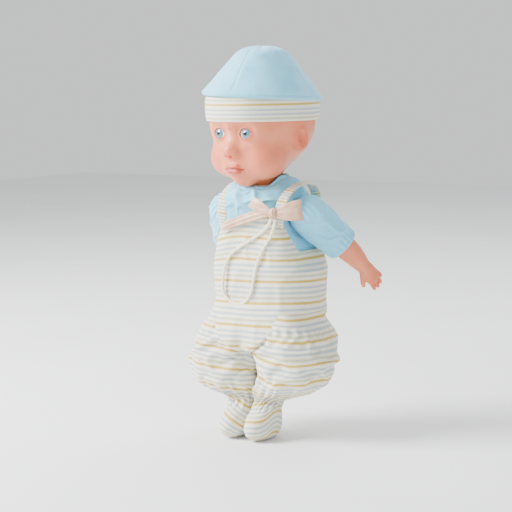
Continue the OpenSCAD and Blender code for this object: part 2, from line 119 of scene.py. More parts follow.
def ramp(tree, source, *stops):
    """Colour of a ramp over a source, from pairs of a place and an sRGB hex colour."""
    return add(tree, "ValToRGB", links={"Fac": source}, stops=stops).outputs["Color"]


def dress(tree, shader, colour, height, strength, depth):
    """Give a shader its colour and a normal bumped by a height, depth mm deep at strength 1."""
    relief = add(tree, "Bump", {"Strength": strength, "Distance": depth * MM}, {"Height": height})
    tree.links.new(colour, shader.inputs["Base Color"])
    tree.links.new(relief.outputs["Normal"], shader.inputs["Normal"])


camera = bpy.data.objects.new("camera", bpy.data.cameras.new("camera"))
camera.data.sensor_width = 36
camera.data.lens = 112.47
camera.data.clip_end = 20
eye_point = Vector((0.92782, -1.34514, 0.19419))
aim_point = Vector((-0.01943, -0.04136, 0.00516))
camera_roll = np.radians(-0.96)
camera.matrix_world = (Matrix.Translation(eye_point)
                       @ (aim_point - eye_point).to_track_quat("-Z", "Y").to_matrix().to_4x4()
                       @ Matrix.Rotation(camera_roll, 4, "Z"))
collection.objects.link(camera)
scene.camera = camera


def area_light(name, azimuth, elevation, distance, size, power):
    """A square light that faces the doll's chest; azimuth 0 is in front of it and 90 at its left hand."""
    a, e = np.radians([azimuth, elevation])
    back = Vector((np.sin(a) * np.cos(e), -np.cos(a) * np.cos(e), np.sin(e)))
    lamp = bpy.data.objects.new(name, bpy.data.lights.new(name, "AREA"))
    lamp.data.size = size
    lamp.data.energy = power
    lamp.matrix_world = (Matrix.Translation(back * distance + Vector((0, 0, 0.03)))
                         @ back.to_track_quat("Z", "Y").to_matrix().to_4x4())
    collection.objects.link(lamp)


area_light("key_light", -48, 30, 1.7, 0.9, 112)
area_light("fill_light", 60, 20, 2.2, 1.4, 9)
area_light("top_light", 200, 60, 1.8, 1.2, 30)
world = bpy.data.worlds.new("studio")
scene.world = world
world.use_nodes = True
world.node_tree.nodes["Background"].inputs["Color"].default_value = linear("#F4F5F6")
world.node_tree.nodes["Background"].inputs["Strength"].default_value = 1.0

foot_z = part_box("romper_leg_left")[0][2]
floor_half = 3.0
floor_mesh = bpy.data.meshes.new("floor")
floor_corners = [(x * floor_half, y * floor_half, foot_z - 0.002)
                 for x, y in ((-1, -1), (1, -1), (1, 1), (-1, 1))]
floor_mesh.from_pydata(floor_corners, [], [(0, 1, 2, 3)])
floor = bpy.data.objects.new("floor", floor_mesh)
collection.objects.link(floor)
paper, tree, shader = new_material("matt_backdrop_paper", Roughness=0.9)
tone = add(tree, "TexNoise", {"Scale": 3.0}, {"Vector": add(tree, "TexCoord").outputs["Object"]})
shade = ramp(tree, tone.outputs["Fac"], (0.3, "#E6E7E8"), (0.7, "#ECEDEE"))
tree.links.new(shade, shader.inputs["Base Color"])
floor_mesh.materials.append(paper)

# ---- Soother cord --------------------------------------------------------------------------------
# A limp three-strand cotton cord, 3 mm thick. Both ends are tied into the bow's knot, and the loop
# lies down the front of the bib and hangs free.

AXIS_Y = -43.8
cord_route = np.array([[33.8, -44.6, 49.5], [29.5, -42.8, 44], [20, -40.9, 35.5], [6, -42, 26.5],
                       [-8, -42.8, 18.5],
                       [-18, -43.2, 10.5], [-24, -43.5, 0], [-27, -43.6, -14], [-26.5, -43.5, -26],
                       [-20, -42.8, -34.5], [-11, -42.3, -37.5], [-1, -42.8, -35], [7, -43.5, -25.5],
                       [10.5, -43.8, -13], [15.5, -43.6, 5], [23, -42.2, 20.5], [30, -40.8, 31.5],
                       [35.8, -43, 42],
                       [38.4, -44.8, 49.5]])


def smoothed(path, times=1):
    """Twice as many points, times over: (9 (p1 + p2) - p0 - p3) / 16 comes between each two points."""
    for _ in range(times):
        ends = np.vstack([path[:1], path, path[-1:]])
        finer = np.empty((2 * len(path) - 1, *path.shape[1:]))
        finer[0::2] = path
        finer[1::2] = (9 * (ends[1:-2] + ends[2:-1]) - ends[:-3] - ends[3:]) / 16
        path = finer
    return path


def unit(v):
    """Vectors divided by their own length."""
    return v / np.linalg.norm(v, axis=-1, keepdims=True)


def grid_mesh(name, points, around=True, size=(0, 0), ends=(False, False)):
    """Mesh of a grid of points in mm, rows upwards and columns anticlockwise seen from above.

    A face joins a point to its right, upper right and upper neighbours; around joins the last column
    to the first, and ends closes the first or the last row with a fan to its middle. The UV map holds
    the cloth's width and height in metres, spread evenly over columns and rows.
    """
    rows, columns = points.shape[:2]
    index = np.arange(rows * columns).reshape(rows, columns)
    if around:
        index = np.hstack([index, index[:, :1]])
    u, v = np.meshgrid(np.linspace(0, size[0] * MM, index.shape[1]), np.linspace(0, size[1] * MM, rows))
    corners = [(slice(None, -1), slice(None, -1)), (slice(None, -1), slice(1, None)),
               (slice(1, None), slice(1, None)), (slice(1, None), slice(None, -1))]
    faces = np.stack([index[c] for c in corners], -1).reshape(-1, 4).tolist()
    uv = np.stack([np.stack([u[c], v[c]], -1) for c in corners], 2).reshape(-1, 2)
    vertices = points.reshape(-1, 3)
    for last, wanted in enumerate(ends):
        if wanted:
            rim = index[-last]
            vertices = np.vstack([vertices, points[-last].mean(0)])
            pairs = zip(rim[:-1], rim[1:]) if last else zip(rim[1:], rim[:-1])
            fan = [[len(vertices) - 1, int(a), int(b)] for a, b in pairs]
            faces += fan
            uv = np.vstack([uv, np.zeros((3 * len(fan), 2))])
    mesh = bpy.data.meshes.new(name)
    mesh.from_pydata((vertices * MM).tolist(), [], faces)
    mesh.uv_layers.new(name="cloth").data.foreach_set("uv", uv.ravel())
    mesh.shade_smooth()
    return mesh


def mark(mesh, name, values):
    """Store one number for each point of the mesh; points added by an end's fan take the last one."""
    values = np.ravel(values)
    spare = len(mesh.vertices) - len(values)
    values = np.concatenate([values, np.full(spare, values[-1])])
    mesh.attributes.new(name, "FLOAT", "POINT").data.foreach_set("value", values.astype(np.float32))


def piece(name, mesh, material, body, stands_for=(), wall=0.0, levels=0):
    """An object for a mesh, with a cloth's thickness inwards and a subdivision, riding on a body."""
    made = bpy.data.objects.new(name, mesh)
    collection.objects.link(made)
    mesh.materials.append(material)
    if wall:
        thick = made.modifiers.new("thickness", "SOLIDIFY")
        thick.thickness = wall * MM
        thick.offset = -1
    if levels:
        finer = made.modifiers.new("finer", "SUBSURF")
        finer.levels = finer.render_levels = levels
    if body:
        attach(made, body)
    if stands_for:
        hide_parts(*stands_for)
    return made


def tube(path, radius, sides, up=(0, 1, 0)):
    """Points of a round section carried along a path; radius may be an array, rings by sides."""
    heading = unit(np.gradient(path, axis=0))
    side = unit(np.cross(heading, np.array(up, float)))
    out = np.cross(heading, side)
    angle = np.linspace(0, 2 * np.pi, sides, endpoint=False)[None, :, None]
    radius = np.broadcast_to(radius, (len(path), sides))[:, :, None]
    return path[:, None] + radius * (np.cos(angle) * side[:, None] + np.sin(angle) * out[:, None])


# Cotton cord, twisted from three strands: matt, off-white, with a shadow line along each groove.
cord_cotton, tree, shader = new_material("twisted_cotton_cord", Roughness=0.85, Sheen_Weight=0.3,
                                         Sheen_Roughness=0.5)
groove = add(tree, "Attribute", attribute_name="groove").outputs["Fac"]
tone = ramp(tree, groove, (0.0, "#C9B88F"), (0.5, "#F4EBD0"))
# Fibre lint, drawn at 0.6 mm, which is coarser than real lint so that it shows
dress(tree, shader, tone, noise(tree, 0.6, 3.0), 0.4, 0.15)

cord_d = 3.0
strand_lay = 7.0
cord_path = smoothed(cord_route, 4) + [0, AXIS_Y, 0]
steps = np.linalg.norm(np.diff(cord_path, axis=0), axis=1)
run = np.concatenate([[0], np.cumsum(steps)])
cord_sides = 24
turn = np.linspace(0, 2 * np.pi, cord_sides, endpoint=False)
strand = np.abs(np.cos(1.5 * (turn[None] + 2 * np.pi * run[:, None] / (3 * strand_lay))))
cord_points = tube(cord_path, cord_d / 2 * (0.86 + 0.16 * strand), cord_sides)
cord_mesh = grid_mesh("soother_cord", cord_points, ends=(True, True))
mark(cord_mesh, "groove", strand)
soother_cord = piece("soother_cord", cord_mesh, cord_cotton, "torso", ["cord_loop"])
[tuple(p * MM) for p in smoothed(cord_route) + [0, AXIS_Y, 0]]

# ---- T-shirt -------------------------------------------------------------------------------------
# A thin pale-blue single-jersey T-shirt over the stuffed cotton trunk, crumpled at the neck, where a
# folded band is sewn to it. It carries on down inside the dungarees.

# The trunk: height, half width, half depth, forward shift, squareness, pinch at the armpits
TRUNK = np.array([[-86, 58, 43, -9, 2.6, 0], [-72, 57.5, 43.5, -7.5, 2.6, 0], [-60, 56.5, 42.5, -4, 2.6, 0],
                  [-45, 53.5, 39.5, -1, 2.6, 0], [-33, 52, 37.5, 0, 2.6, 0], [-20, 52, 38, 0, 2.8, 0],
                  [-5, 52, 38, 0, 3, 0],
                  [5, 50.5, 37.5, 0, 3.2, 0.08], [14, 49, 37, 0, 3.6, 0.15], [24, 48, 36, 0, 4, 0.21],
                  [34, 45, 35, 0, 4, 0.28], [46, 42, 33.5, -1, 4, 0.33], [58, 41, 33, -3, 3.4, 0.25],
                  [66, 39.5, 32, -5, 2.9, 0.1], [72, 34.5, 29.5, -7.5, 2.5, 0.04],
                  [76, 27.5, 26.5, -9.5, 2.1, 0],
                  [78, 23.5, 23.5, -10, 2, 0]])


def trunk_points(turn, z, grow):
    """Superellipse around the trunk: the distance (|cos / a|^n + |sin / b|^n)^(-1/n) at each angle, drawn
    in at the armpits by the pinch times the fourth power of the cosine."""
    width, depth, shift, square, pinch = (np.interp(z, TRUNK[:, 0], TRUNK[:, k]) for k in range(1, 6))
    c, s = np.cos(turn), np.sin(turn)
    reach = (np.abs(c / (width + grow)) ** square + np.abs(s / (depth + grow)) ** square) ** (-1 / square)
    x = reach * c * (1 - pinch * c ** 4)
    return np.stack([x, AXIS_Y + shift + reach * s, np.broadcast_to(z, x.shape)], -1)


def waves(turn, height, seed, count=7, turns=(1, 7), pitch=(25, 80)):
    """Sum of sine waves: whole numbers of turns about an angle, random pitches in mm along a height."""
    rng = np.random.default_rng(seed)
    total = 0.0
    for _ in range(count):
        slope = 2 * np.pi / rng.uniform(*pitch) * rng.choice([-1, 1])
        total = total + np.sin(rng.integers(*turns) * turn + slope * height + rng.uniform(0, 2 * np.pi))
    return total / np.sqrt(count)


def crease(wave, width=0.3):
    """Narrow ridges where a wave crosses zero: exp(-(wave / width) squared)."""
    return np.exp(-(wave / width) ** 2)


def step(value, low, high):
    """Smooth step from 0 at low to 1 at high."""
    t = np.clip((value - low) / (high - low), 0, 1)
    return t * t * (3 - 2 * t)


def around(columns):
    """Angles of the columns of a closed grid, from the left side towards the back."""
    return np.linspace(0, 2 * np.pi, columns, endpoint=False)[None]


def knit_relief(tree, shader, wale=1.5, depth=0.16):
    """Jersey: columns of stitches wale mm apart and rows 0.8 of that, as a product of two waves."""
    cloth = add(tree, "UVMap", uv_map="cloth").outputs["UV"]
    # Real wales are 0.7 mm apart; they are drawn twice as coarse so that they show
    wales = bands(tree, cloth, wale, "X", 0.6)
    rows = bands(tree, cloth, 0.8 * wale, "Y", 0.6)
    stitches = add(tree, "Math", links={0: wales, 1: rows}, operation="MULTIPLY")
    relief = add(tree, "Bump", {"Strength": 0.55, "Distance": depth * MM}, {"Height": stitches.outputs[0]})
    tree.links.new(relief.outputs["Normal"], shader.inputs["Normal"])
    return stitches.outputs[0]


def plain_jersey(name, dark, light):
    """Cotton single jersey in one colour, with painted shade between the stitches and uneven in the dye."""
    made, tree, shader = new_material(name, Roughness=0.9, Sheen_Weight=0.35, Sheen_Roughness=0.45)
    stitches = knit_relief(tree, shader)
    mixed = add(tree, "Math", {1: 0.65}, {0: noise(tree, 22, 4.0)}, operation="MULTIPLY")
    # The stitch relief also darkens the colour between the stitches as painted shade, on top of the uneven
    # dye
    stitch_shade_and_dye = add(tree, "Math", {1: 0.35}, {0: stitches, 2: mixed.outputs[0]}, operation="MULTIPLY_ADD")
    tone = ramp(tree, stitch_shade_and_dye.outputs[0], (0.15, dark), (0.65, light))
    tree.links.new(tone, shader.inputs["Base Color"])
    return made


COLLAR_LIFT = 10.5


def collar_rise(turn):
    """How far the collar is pushed up in mm: 0 under the chin, its full lift from the sides to the back."""
    return COLLAR_LIFT * step(np.arccos(-np.sin(turn)), 0.7, 1.5)


blue_jersey = plain_jersey("combed_cotton_jersey_pale_blue", "#68C1DF", "#8DD7F1")

turn = around(240)
level = np.concatenate([np.linspace(-36, 44, 30), np.linspace(45, 78, 70)])[:, None]
high = step(level, 46, 60)
folds = waves(turn, level, 11, turns=(3, 11), pitch=(18, 60))
puckers = waves(turn, level, 12, turns=(8, 19), pitch=(30, 90))
grow = 2.0 + high * (2.2 * crease(folds) - 0.6 + 0.9 * puckers)
shirt_points = trunk_points(turn + 0 * level, level + 0 * turn, grow * step(level, 78.6, 75))
shirt_points[..., 2] += collar_rise(turn) * step(level, 64, 78) - 1.0 * step(level, 76, 78)
shirt_points[..., 2] += 1.2 * step(level, 66, 74) * waves(turn, 0 * level, 13, turns=(5, 14))
shirt_mesh = grid_mesh("shirt_body", shirt_points, size=(300, 130))
shirt = piece("tshirt_body", shirt_mesh, blue_jersey, "torso", ["shirt_body"], wall=1.0)

# The neckband: a fold of jersey, a flattened ring with a slight ripple, 5 mm high
NECK_Y = AXIS_Y - 10
turn = around(200)
ring = np.linspace(0, 2 * np.pi, 17)[:-1, None]
ripple = 0.5 * waves(turn, 0, 21, turns=(4, 12))
radius = 24.2 + 1.5 * np.cos(ring) + ripple
neckband_points = np.stack([radius * np.cos(turn), NECK_Y + 1.04 * radius * np.sin(turn),
                            76.8 + 2.2 * np.sin(ring) + 0.5 * ripple + collar_rise(turn)], -1)
neckband_points = np.concatenate([neckband_points, neckband_points[:1]])
neckband_mesh = grid_mesh("tshirt_neckband", neckband_points, size=(155, 14))
neckband = piece("tshirt_neckband", neckband_mesh, blue_jersey, "torso", ["shirt_neckband"])

# ---- Dungarees: bib and body ---------------------------------------------------------------------
# Striped cotton jersey, cut as a bib, a trunk and a V-shaped panel between the legs. The top and the
# armholes are hemmed; the slanting hip seams join it to the legs.

STRIPE_REPEAT = 21.45


def striped_jersey(name):
    """Cream jersey with a repeat of one mustard stripe, a khaki-grey one and two blue-grey ones, with
    painted shade between the stitches.
    """
    made, tree, shader = new_material(name, Roughness=0.9, Sheen_Weight=0.3, Sheen_Roughness=0.45)
    stitches = knit_relief(tree, shader)
    along = add(tree, "Attribute", attribute_name="stripe").outputs["Fac"]
    stray = noise(tree, 2.5, 2.0)
    moved = add(tree, "Math", {1: 0.5}, {0: stray, 2: along}, operation="MULTIPLY_ADD")
    repeat = add(tree, "Math", {1: STRIPE_REPEAT}, {0: moved.outputs[0]}, operation="DIVIDE")
    part = add(tree, "Math", links={0: repeat.outputs[0]}, operation="FRACT")
    cream, mustard, khaki, slate = "#F6EFDA", "#CFAF4C", "#C9CAAC", "#B4C4C8"
    stops = [(0.0, cream), (0.025, mustard), (0.12, mustard), (0.15, cream)]
    for middle, colour in ((0.316, khaki), (0.55, slate), (0.79, slate)):
        stops += [(middle - 0.08, cream), (middle - 0.035, colour), (middle + 0.035, colour),
                  (middle + 0.08, cream)]
    yarn = ramp(tree, part.outputs[0], *stops)
    # Painted shade between the stitches: the stitch relief darkens the yarn's colour by up to a fifth
    painted_stitch_shade = add(tree, "Math", {1: 0.22, 2: 0.80}, {0: stitches}, operation="MULTIPLY_ADD")
    shaded = add(tree, "HueSaturation", links={"Color": yarn, "Value": painted_stitch_shade.outputs[0]})
    tree.links.new(shaded.outputs["Color"], shader.inputs["Base Color"])
    return made


striped = striped_jersey("yarn_dyed_striped_jersey")

turn = around(280)
face = np.abs(np.sin(turn))
side_x = np.abs(trunk_points(turn, np.full_like(turn, -62.0), 0)[..., 0])
# The bib's top slants: 50 high under the near strap, 41 under the far one, behind the ribbon
top_x = trunk_points(turn, np.full_like(turn, 46.0), 4.2)[..., 0]
bib_top = np.where(np.sin(turn) < 0, 50 - 9 * step(top_x, 28, -28), 50)
bib_edge = 15 + (bib_top - 15) * step(face, 0.29, 0.66) ** 0.8
hip_seam = np.interp(side_x, [0, 6, 19, 50, 58], [-86, -85, -78.5, -47.5, -46])
share = np.linspace(0, 1, 150)[:, None]
level = hip_seam + (bib_edge - hip_seam) * share
front = np.sin(turn) < 0
folds = waves(turn, level, 31, turns=(2, 8), pitch=(60, 200))
fine = waves(turn, level, 32, turns=(5, 16), pitch=(25, 70))
grow = 4.2 + 0.9 * crease(folds, 0.4) + 0.25 * fine
grow = grow - 5.0 * step(share, 0.035, 0.0) + 0.5 * np.exp(-((share - 0.985) / 0.012) ** 2)
body_points = trunk_points(turn + 0 * share, level, grow)
# Between the legs the panel dips in towards the crotch
dip = 9 * np.exp(-(body_points[..., 0] / 9) ** 2) * step(level, -58, -86)
body_points[..., 1] += np.where(front, dip, -dip) - 7 * np.clip(np.sin(turn), 0, 1) * step(level, -56, -86)
body_mesh = grid_mesh("dungarees_body", body_points, size=(330, 130))
droop = (4 + 4.5 * step(level, -10, 25)) * np.clip(-body_points[..., 0] / 50, 0, 1.2) ** 2
stripe = level + droop + 0.5 * waves(turn, level, 33, turns=(1, 5), pitch=(90, 200)) - 27.8
mark(body_mesh, "stripe", stripe)
dungarees_body = piece("dungarees_body", body_mesh, striped, "torso", ["romper_body"], wall=1.3)

# ---- Shoulder straps -----------------------------------------------------------------------------
# Each strap is a tube of the striped jersey pressed flat, 11 mm wide, with the stripes across it. It
# is sewn behind the bib's top corner, goes over the shoulder and is sewn to the back.

strap_line = np.array([[-32.4, 38], [-33.4, 45], [-35.2, 53], [-34.8, 60], [-31.6, 67], [-25.5, 73.4],
                       [-17, 78.2], [-6, 80.8],
                       [6, 80.6], [15, 78], [22, 72.6], [27, 65.4], [30, 57], [31.9, 49], [32.3, 40]])
strap_line = smoothed(np.column_stack([0 * strap_line[:, 0], strap_line]), 3)
strap_run = np.concatenate([[0], np.cumsum(np.linalg.norm(np.diff(strap_line, axis=0), axis=1))])
edge = np.linspace(0, 2 * np.pi, 40, endpoint=False)[None]
heading = unit(np.gradient(strap_line, axis=0))
out = np.cross(heading, np.array([1.0, 0, 0]))
for side, name in ((1, "left"), (-1, "right")):
    plump = 1.3 + 0.3 * waves(edge, strap_run[:, None], 40 + side, turns=(1, 4), pitch=(6, 14))
    across = 5.8 * np.sign(np.cos(edge)) * np.abs(np.cos(edge)) ** 0.8
    lift = plump * np.sign(np.sin(edge)) * np.abs(np.sin(edge)) ** 0.8
    lean = side * 33 + (9 if side > 0 else 1) * np.sin(np.pi * strap_run / strap_run[-1])[:, None]
    none = np.zeros_like(lift)
    strap_points = (strap_line[:, None] + np.stack([lean + across, none, none], -1)
                    - out[:, None] * lift[..., None] + [0, AXIS_Y, 0])
    strap_mesh = grid_mesh("strap_" + name, strap_points[::-1], size=(24, 150), ends=(True, True))
    mark(strap_mesh, "stripe", (strap_run[::-1, None] + 0.12 * across) * 1.6)
    strap = piece("dungarees_strap_" + name, strap_mesh, striped, "torso", ["strap_" + name])

# ---- Stuffed trunk -------------------------------------------------------------------------------
# Under the clothes the trunk is a bag of unbleached calico, filled with polyester wadding around the
# voice unit. Its neck casing is drawn in over the head's plug with a nylon tie.

# Calico: plain weave, cream with darker slubs. Threads are 0.4 mm apart, drawn at 0.9 mm to show.
calico, tree, shader = new_material("unbleached_calico", Roughness=0.92, Sheen_Weight=0.25,
                                    Sheen_Roughness=0.5)
place = add(tree, "TexCoord").outputs["Object"]
threads = {k: bands(tree, place, 0.9, axis, 1.2) for k, axis in enumerate("XZ")}
weave = add(tree, "Math", links=threads, operation="ADD").outputs[0]
tone = ramp(tree, noise(tree, 6, 5.0), (0.35, "#CDBB95"), (0.6, "#E6DAC0"))
dress(tree, shader, tone, weave, 0.5, 0.15)

# Wadding: springy white polyester fibre, matted in clumps of about 7 mm with fine hair on them
wadding, tree, shader = new_material("polyester_wadding", Roughness=0.95, Sheen_Weight=0.6,
                                     Sheen_Roughness=0.6)
clump = noise(tree, 7, 6.0, Distortion=1.5)
dress(tree, shader, ramp(tree, clump, (0.3, "#D5D6D4"), (0.65, "#F2F2EF")), clump, 0.8, 1.2)

turn = around(140)
for name, node, cloth, slot, low, high, inset, puff in (
        ("calico_trunk", "torso_cloth", calico, "body_cotton", -84, 70, -1.2, 0.5),
        ("wadding_trunk", "torso_stuffing", wadding, "polyester_fill", -81, 66, -4.0, 1.3)):
    level = np.linspace(low, high, 90)[:, None]
    inward = np.clip(1 - np.minimum(level - low, high - level) / 9, 0, 1)
    rounding = 7 * (1 - np.sqrt(1 - 0.98 * inward ** 2))
    grow = inset - rounding + puff * waves(turn, level, 61, turns=(2, 9), pitch=(20, 70))
    stuffed_mesh = grid_mesh(name, trunk_points(turn + 0 * level, level + 0 * turn, grow), size=(300, 150),
                             ends=(True, True))
    stuffed = piece(name, stuffed_mesh, cloth, "torso", [node])

# The casing: a calico tube gathered into the tie, with the pleats that drawing it in makes
level = np.linspace(68, 80, 40)[:, None]
radius = (np.interp(level, [68, 71, 73, 75, 80], [22, 20.5, 18.9, 20, 20.6])
          + 0.5 * np.sin(26 * turn + np.sin(5 * turn)))
casing_points = np.stack([radius * np.cos(turn), NECK_Y + radius * np.sin(turn), level + 0 * turn], -1)
casing_mesh = grid_mesh("neck_casing", casing_points, size=(125, 12))
casing = piece("calico_neck_casing", casing_mesh, calico, "torso", ["neck_casing"], wall=0.6)

# ---- Back closure --------------------------------------------------------------------------------
# The dungarees open down the back. A flap of the striped jersey with hook tape inside presses onto a
# loop tape sewn to the other edge; two rows of stitches run down the flap.

flap_across = np.linspace(-1, 1, 41)[None]
flap_level = np.linspace(-30, 48, 120)[:, None]
back_turn = np.pi / 2 - 0.19 * flap_across
flap_grow = 5.1 + 0.25 * waves(3 * flap_across, flap_level, 51) + 0.35 * (1 - flap_across ** 8)
flap_grow = flap_grow - 0.35 * np.exp(-((np.abs(flap_across) - 0.82) / 0.05) ** 2)
flap_points = trunk_points(back_turn + 0 * flap_level, flap_level + 0 * flap_across, flap_grow)
flap_points[..., 0] = 10.2 * flap_across
flap_mesh = grid_mesh("closure_flap", flap_points[:, ::-1], around=False, size=(20, 78))
mark(flap_mesh, "stripe", (flap_level + 0 * flap_across - 26.0)[:, ::-1])
flap = piece("closure_flap", flap_mesh, striped, "torso", ["closure_hook_flap"], wall=0.9)

# ---- Bow -----------------------------------------------------------------------------------------
# A 10 mm satin ribbon, tied in a bow at the bib's top corner: a long loop pressed flat across the bib,
# a short loop to the other side, a cut tail that stands up, and a small wrapped knot.

# Satin weave: long smooth floats, so it shines along the ribbon and shows fine lines across it.
satin, tree, shader = new_material("polyester_satin_ribbon", Roughness=0.42, Sheen_Weight=0.25,
                                   Sheen_Roughness=0.35,
                                   Anisotropic=0.4)
cloth = add(tree, "UVMap", uv_map="cloth").outputs["UV"]
# Weft threads are 0.2 mm; drawn at 0.7 mm so that they show
weft = bands(tree, cloth, 0.7, "X", 0.8, 2.0)
tone = ramp(tree, noise(tree, 9, 3.0), (0.25, "#BB8F72"), (0.7, "#DAB496"))
dress(tree, shader, tone, weft, 0.35, 0.08)


def ribbon(middle, half, rows=24, seed=0):
    """A strip along a middle line: at each point it spreads to both sides by the vector half, and is
    cupped backwards at its edges, with lengthwise creases that fade out away from the knot."""
    middle, half = (smoothed(np.array(a, float), 3) for a in (middle, half))
    across = np.linspace(-1, 1, rows)[:, None, None]
    run = np.linspace(0, 1, len(middle))[None, :, None]
    cup = -0.9 * across ** 2 + 0.35 * np.sin(7 * across + 5 * run + seed) * (1 - 0.5 * run)
    points = middle[None] + across * half[None] + cup * np.array([0, -1.0, 0])
    points[..., 1] += AXIS_Y
    return points


knot = np.array([37, -46.5, 54.5])
bow_parts = {
    "bow_loop_left": ([[34.5, -46.6, 54.6], [28, -46.9, 54.4], [18, -46.3, 52.6], [4, -45.4, 48.9],
                       [-10, -44.6, 44.4],
                       [-22, -43.9, 40.3], [-27.2, -43.0, 38.6], [-25.5, -41.7, 39.0], [-12, -41.9, 43.2],
                       [6, -42.2, 48.2],
                       [24, -43.2, 52.6], [34, -44.6, 54.2]],
                      [[0.2, 0, 2.6], [0.6, 0, 3.9], [1.2, 0, 4.9], [1.5, 0, 5.1], [1.6, 0, 4.9],
                       [1.6, 0, 4.8],
                       [1.6, 0, 4.7], [1.6, 0, 4.6], [1.5, 0, 4.7], [1.3, 0, 4.6], [0.8, 0, 3.4],
                       [0.2, 0, 2.4]]),
    "bow_loop_right": ([[39.5, -46.4, 54.8], [43, -46.6, 55.2], [49, -45.6, 56.2], [56, -43.2, 57.3],
                        [62, -39.8, 58.2],
                        [64.5, -36.6, 58.4], [62, -35.6, 58.0], [55, -38.4, 57.0], [47, -41.6, 55.8],
                        [40, -43.8, 54.8]],
                       [[0, 0, 3.0], [-0.3, 0, 5.2], [-0.8, 0, 7.6], [-1.2, 0, 9.3], [-1.4, 0, 9.9],
                        [-1.4, 0, 9.9],
                        [-1.2, 0, 9.6], [-0.9, 0, 8.4], [-0.3, 0, 5.8], [0, 0, 3.0]]),
    "bow_tail": ([[35.5, -47.6, 55.6], [31, -48.6, 57.4], [25, -48.9, 59.6], [18.5, -48.2, 62.4],
                  [11, -46.6, 65.2]],
                 [[0.3, 0.2, 2.2], [1.0, 0.3, 3.6], [1.8, 0.2, 5.0], [3.0, 0.0, 5.2], [3.8, -0.1, 5.1]]),
}
for name, (middle, half) in bow_parts.items():
    ribbon_points = ribbon(middle, half, seed=len(name))
    run = np.linalg.norm(np.diff(ribbon_points[12], axis=0), axis=1).sum()
    ribbon_mesh = grid_mesh(name, ribbon_points, around=False, size=(run, 10))
    strip = piece("satin_" + name, ribbon_mesh, satin, "torso", [name], wall=0.35)
    if name == "bow_loop_right":
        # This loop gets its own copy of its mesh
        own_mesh(strip)

# The knot: a turn of the ribbon drawn tight, a plump ring with creases running over it
turn = around(56)
height = np.linspace(-1, 1, 30)[:, None]
wrap = np.sqrt(np.clip(1 - height ** 2, 0, 1)) ** 0.7
pinch = 1 + 0.09 * np.sin(9 * turn + 2 * height) + 0.05 * np.sin(17 * turn)
knot_points = np.stack([knot[0] + 4.0 * wrap * np.cos(turn) * pinch + 0.8 * height,
                        AXIS_Y + knot[1] + 0.4 + 4.1 * wrap * np.sin(turn) * pinch, knot[2] + 5.9 * height
                        + 0 * turn], -1)
knot_mesh = grid_mesh("bow_knot", knot_points[1:-1], size=(28, 11), ends=(True, True))
knot_piece = piece("bow_knot_wrap", knot_mesh, satin, "torso", ["bow_knot"], levels=1)

# ---- Legs of the dungarees -----------------------------------------------------------------------
# Full jersey trouser legs over stuffed bent legs. They are gathered at the ankle into narrow footed
# ends. The cloth crosses the hip joint, so it rides on no body and stays as it is built.

# A leg: height, middle x, middle y, half width, half depth, squareness
LEG = np.array([[-170, 15, -38, 7.5, 16.5, 2.2], [-167, 15, -38, 12, 22.5, 2.2],
                [-160, 15, -38, 14, 25.5, 2.2],
                [-150, 15, -36, 13.8, 23.5, 2.2], [-141, 15, -31, 12.8, 17.5, 2.2],
                [-135, 15.5, -27, 12, 13, 2.2],
                [-131, 20, -26, 17, 16, 2.2], [-126, 29, -23, 27.5, 24.5, 2.3],
                [-117, 36, -21, 35, 30, 2.3],
                [-105, 39, -18, 38.5, 33.5, 2.3], [-93, 40, -14.5, 39.5, 38, 2.4],
                [-80, 37, -10.5, 36.5, 42, 2.5],
                [-70, 35, -8, 34.5, 43, 2.6], [-60, 31, -7, 30, 40, 2.8], [-50, 28.5, -6, 27, 36.5, 3],
                [-44, 28, -5, 25.5, 35, 3]])
leg_rows = np.concatenate([np.linspace(-170, -136, 41)[:-1], np.linspace(-136, -124, 45)[:-1],
                           np.linspace(-124, -105, 37)[:-1], np.linspace(-105, -44, 61)])[:, None]
# Each column is evened out over 13 rows a quarter of a millimetre apart; its ends are cut off
quarter_rows = np.linspace(-176, -38, 553)
rounded = [np.convolve(np.interp(quarter_rows, LEG[:, 0], LEG[:, k]), np.ones(13) / 13, "same")
           for k in range(1, 6)]
middle_x, middle_y, half_x, half_y, square = (np.interp(leg_rows, quarter_rows[8:-8], r[8:-8])
                                              for r in rounded)
leg_shape = np.hstack([leg_rows, middle_x, middle_y, half_x, half_y])
turn = around(200)
COARSE = 4
SETTLING_FRAMES = 20


def finer_grid(values):
    """Values on a grid closed around, filled in between by the smooth curve of smoothed, twice each way."""
    values = smoothed(values, 2)
    wide = np.concatenate([values[:, -3:], values, values[:, :4]], 1).transpose(1, 0, 2)
    wide = smoothed(wide, 2)
    return wide[3 * COARSE:-3 * COARSE - 1].transpose(1, 0, 2)


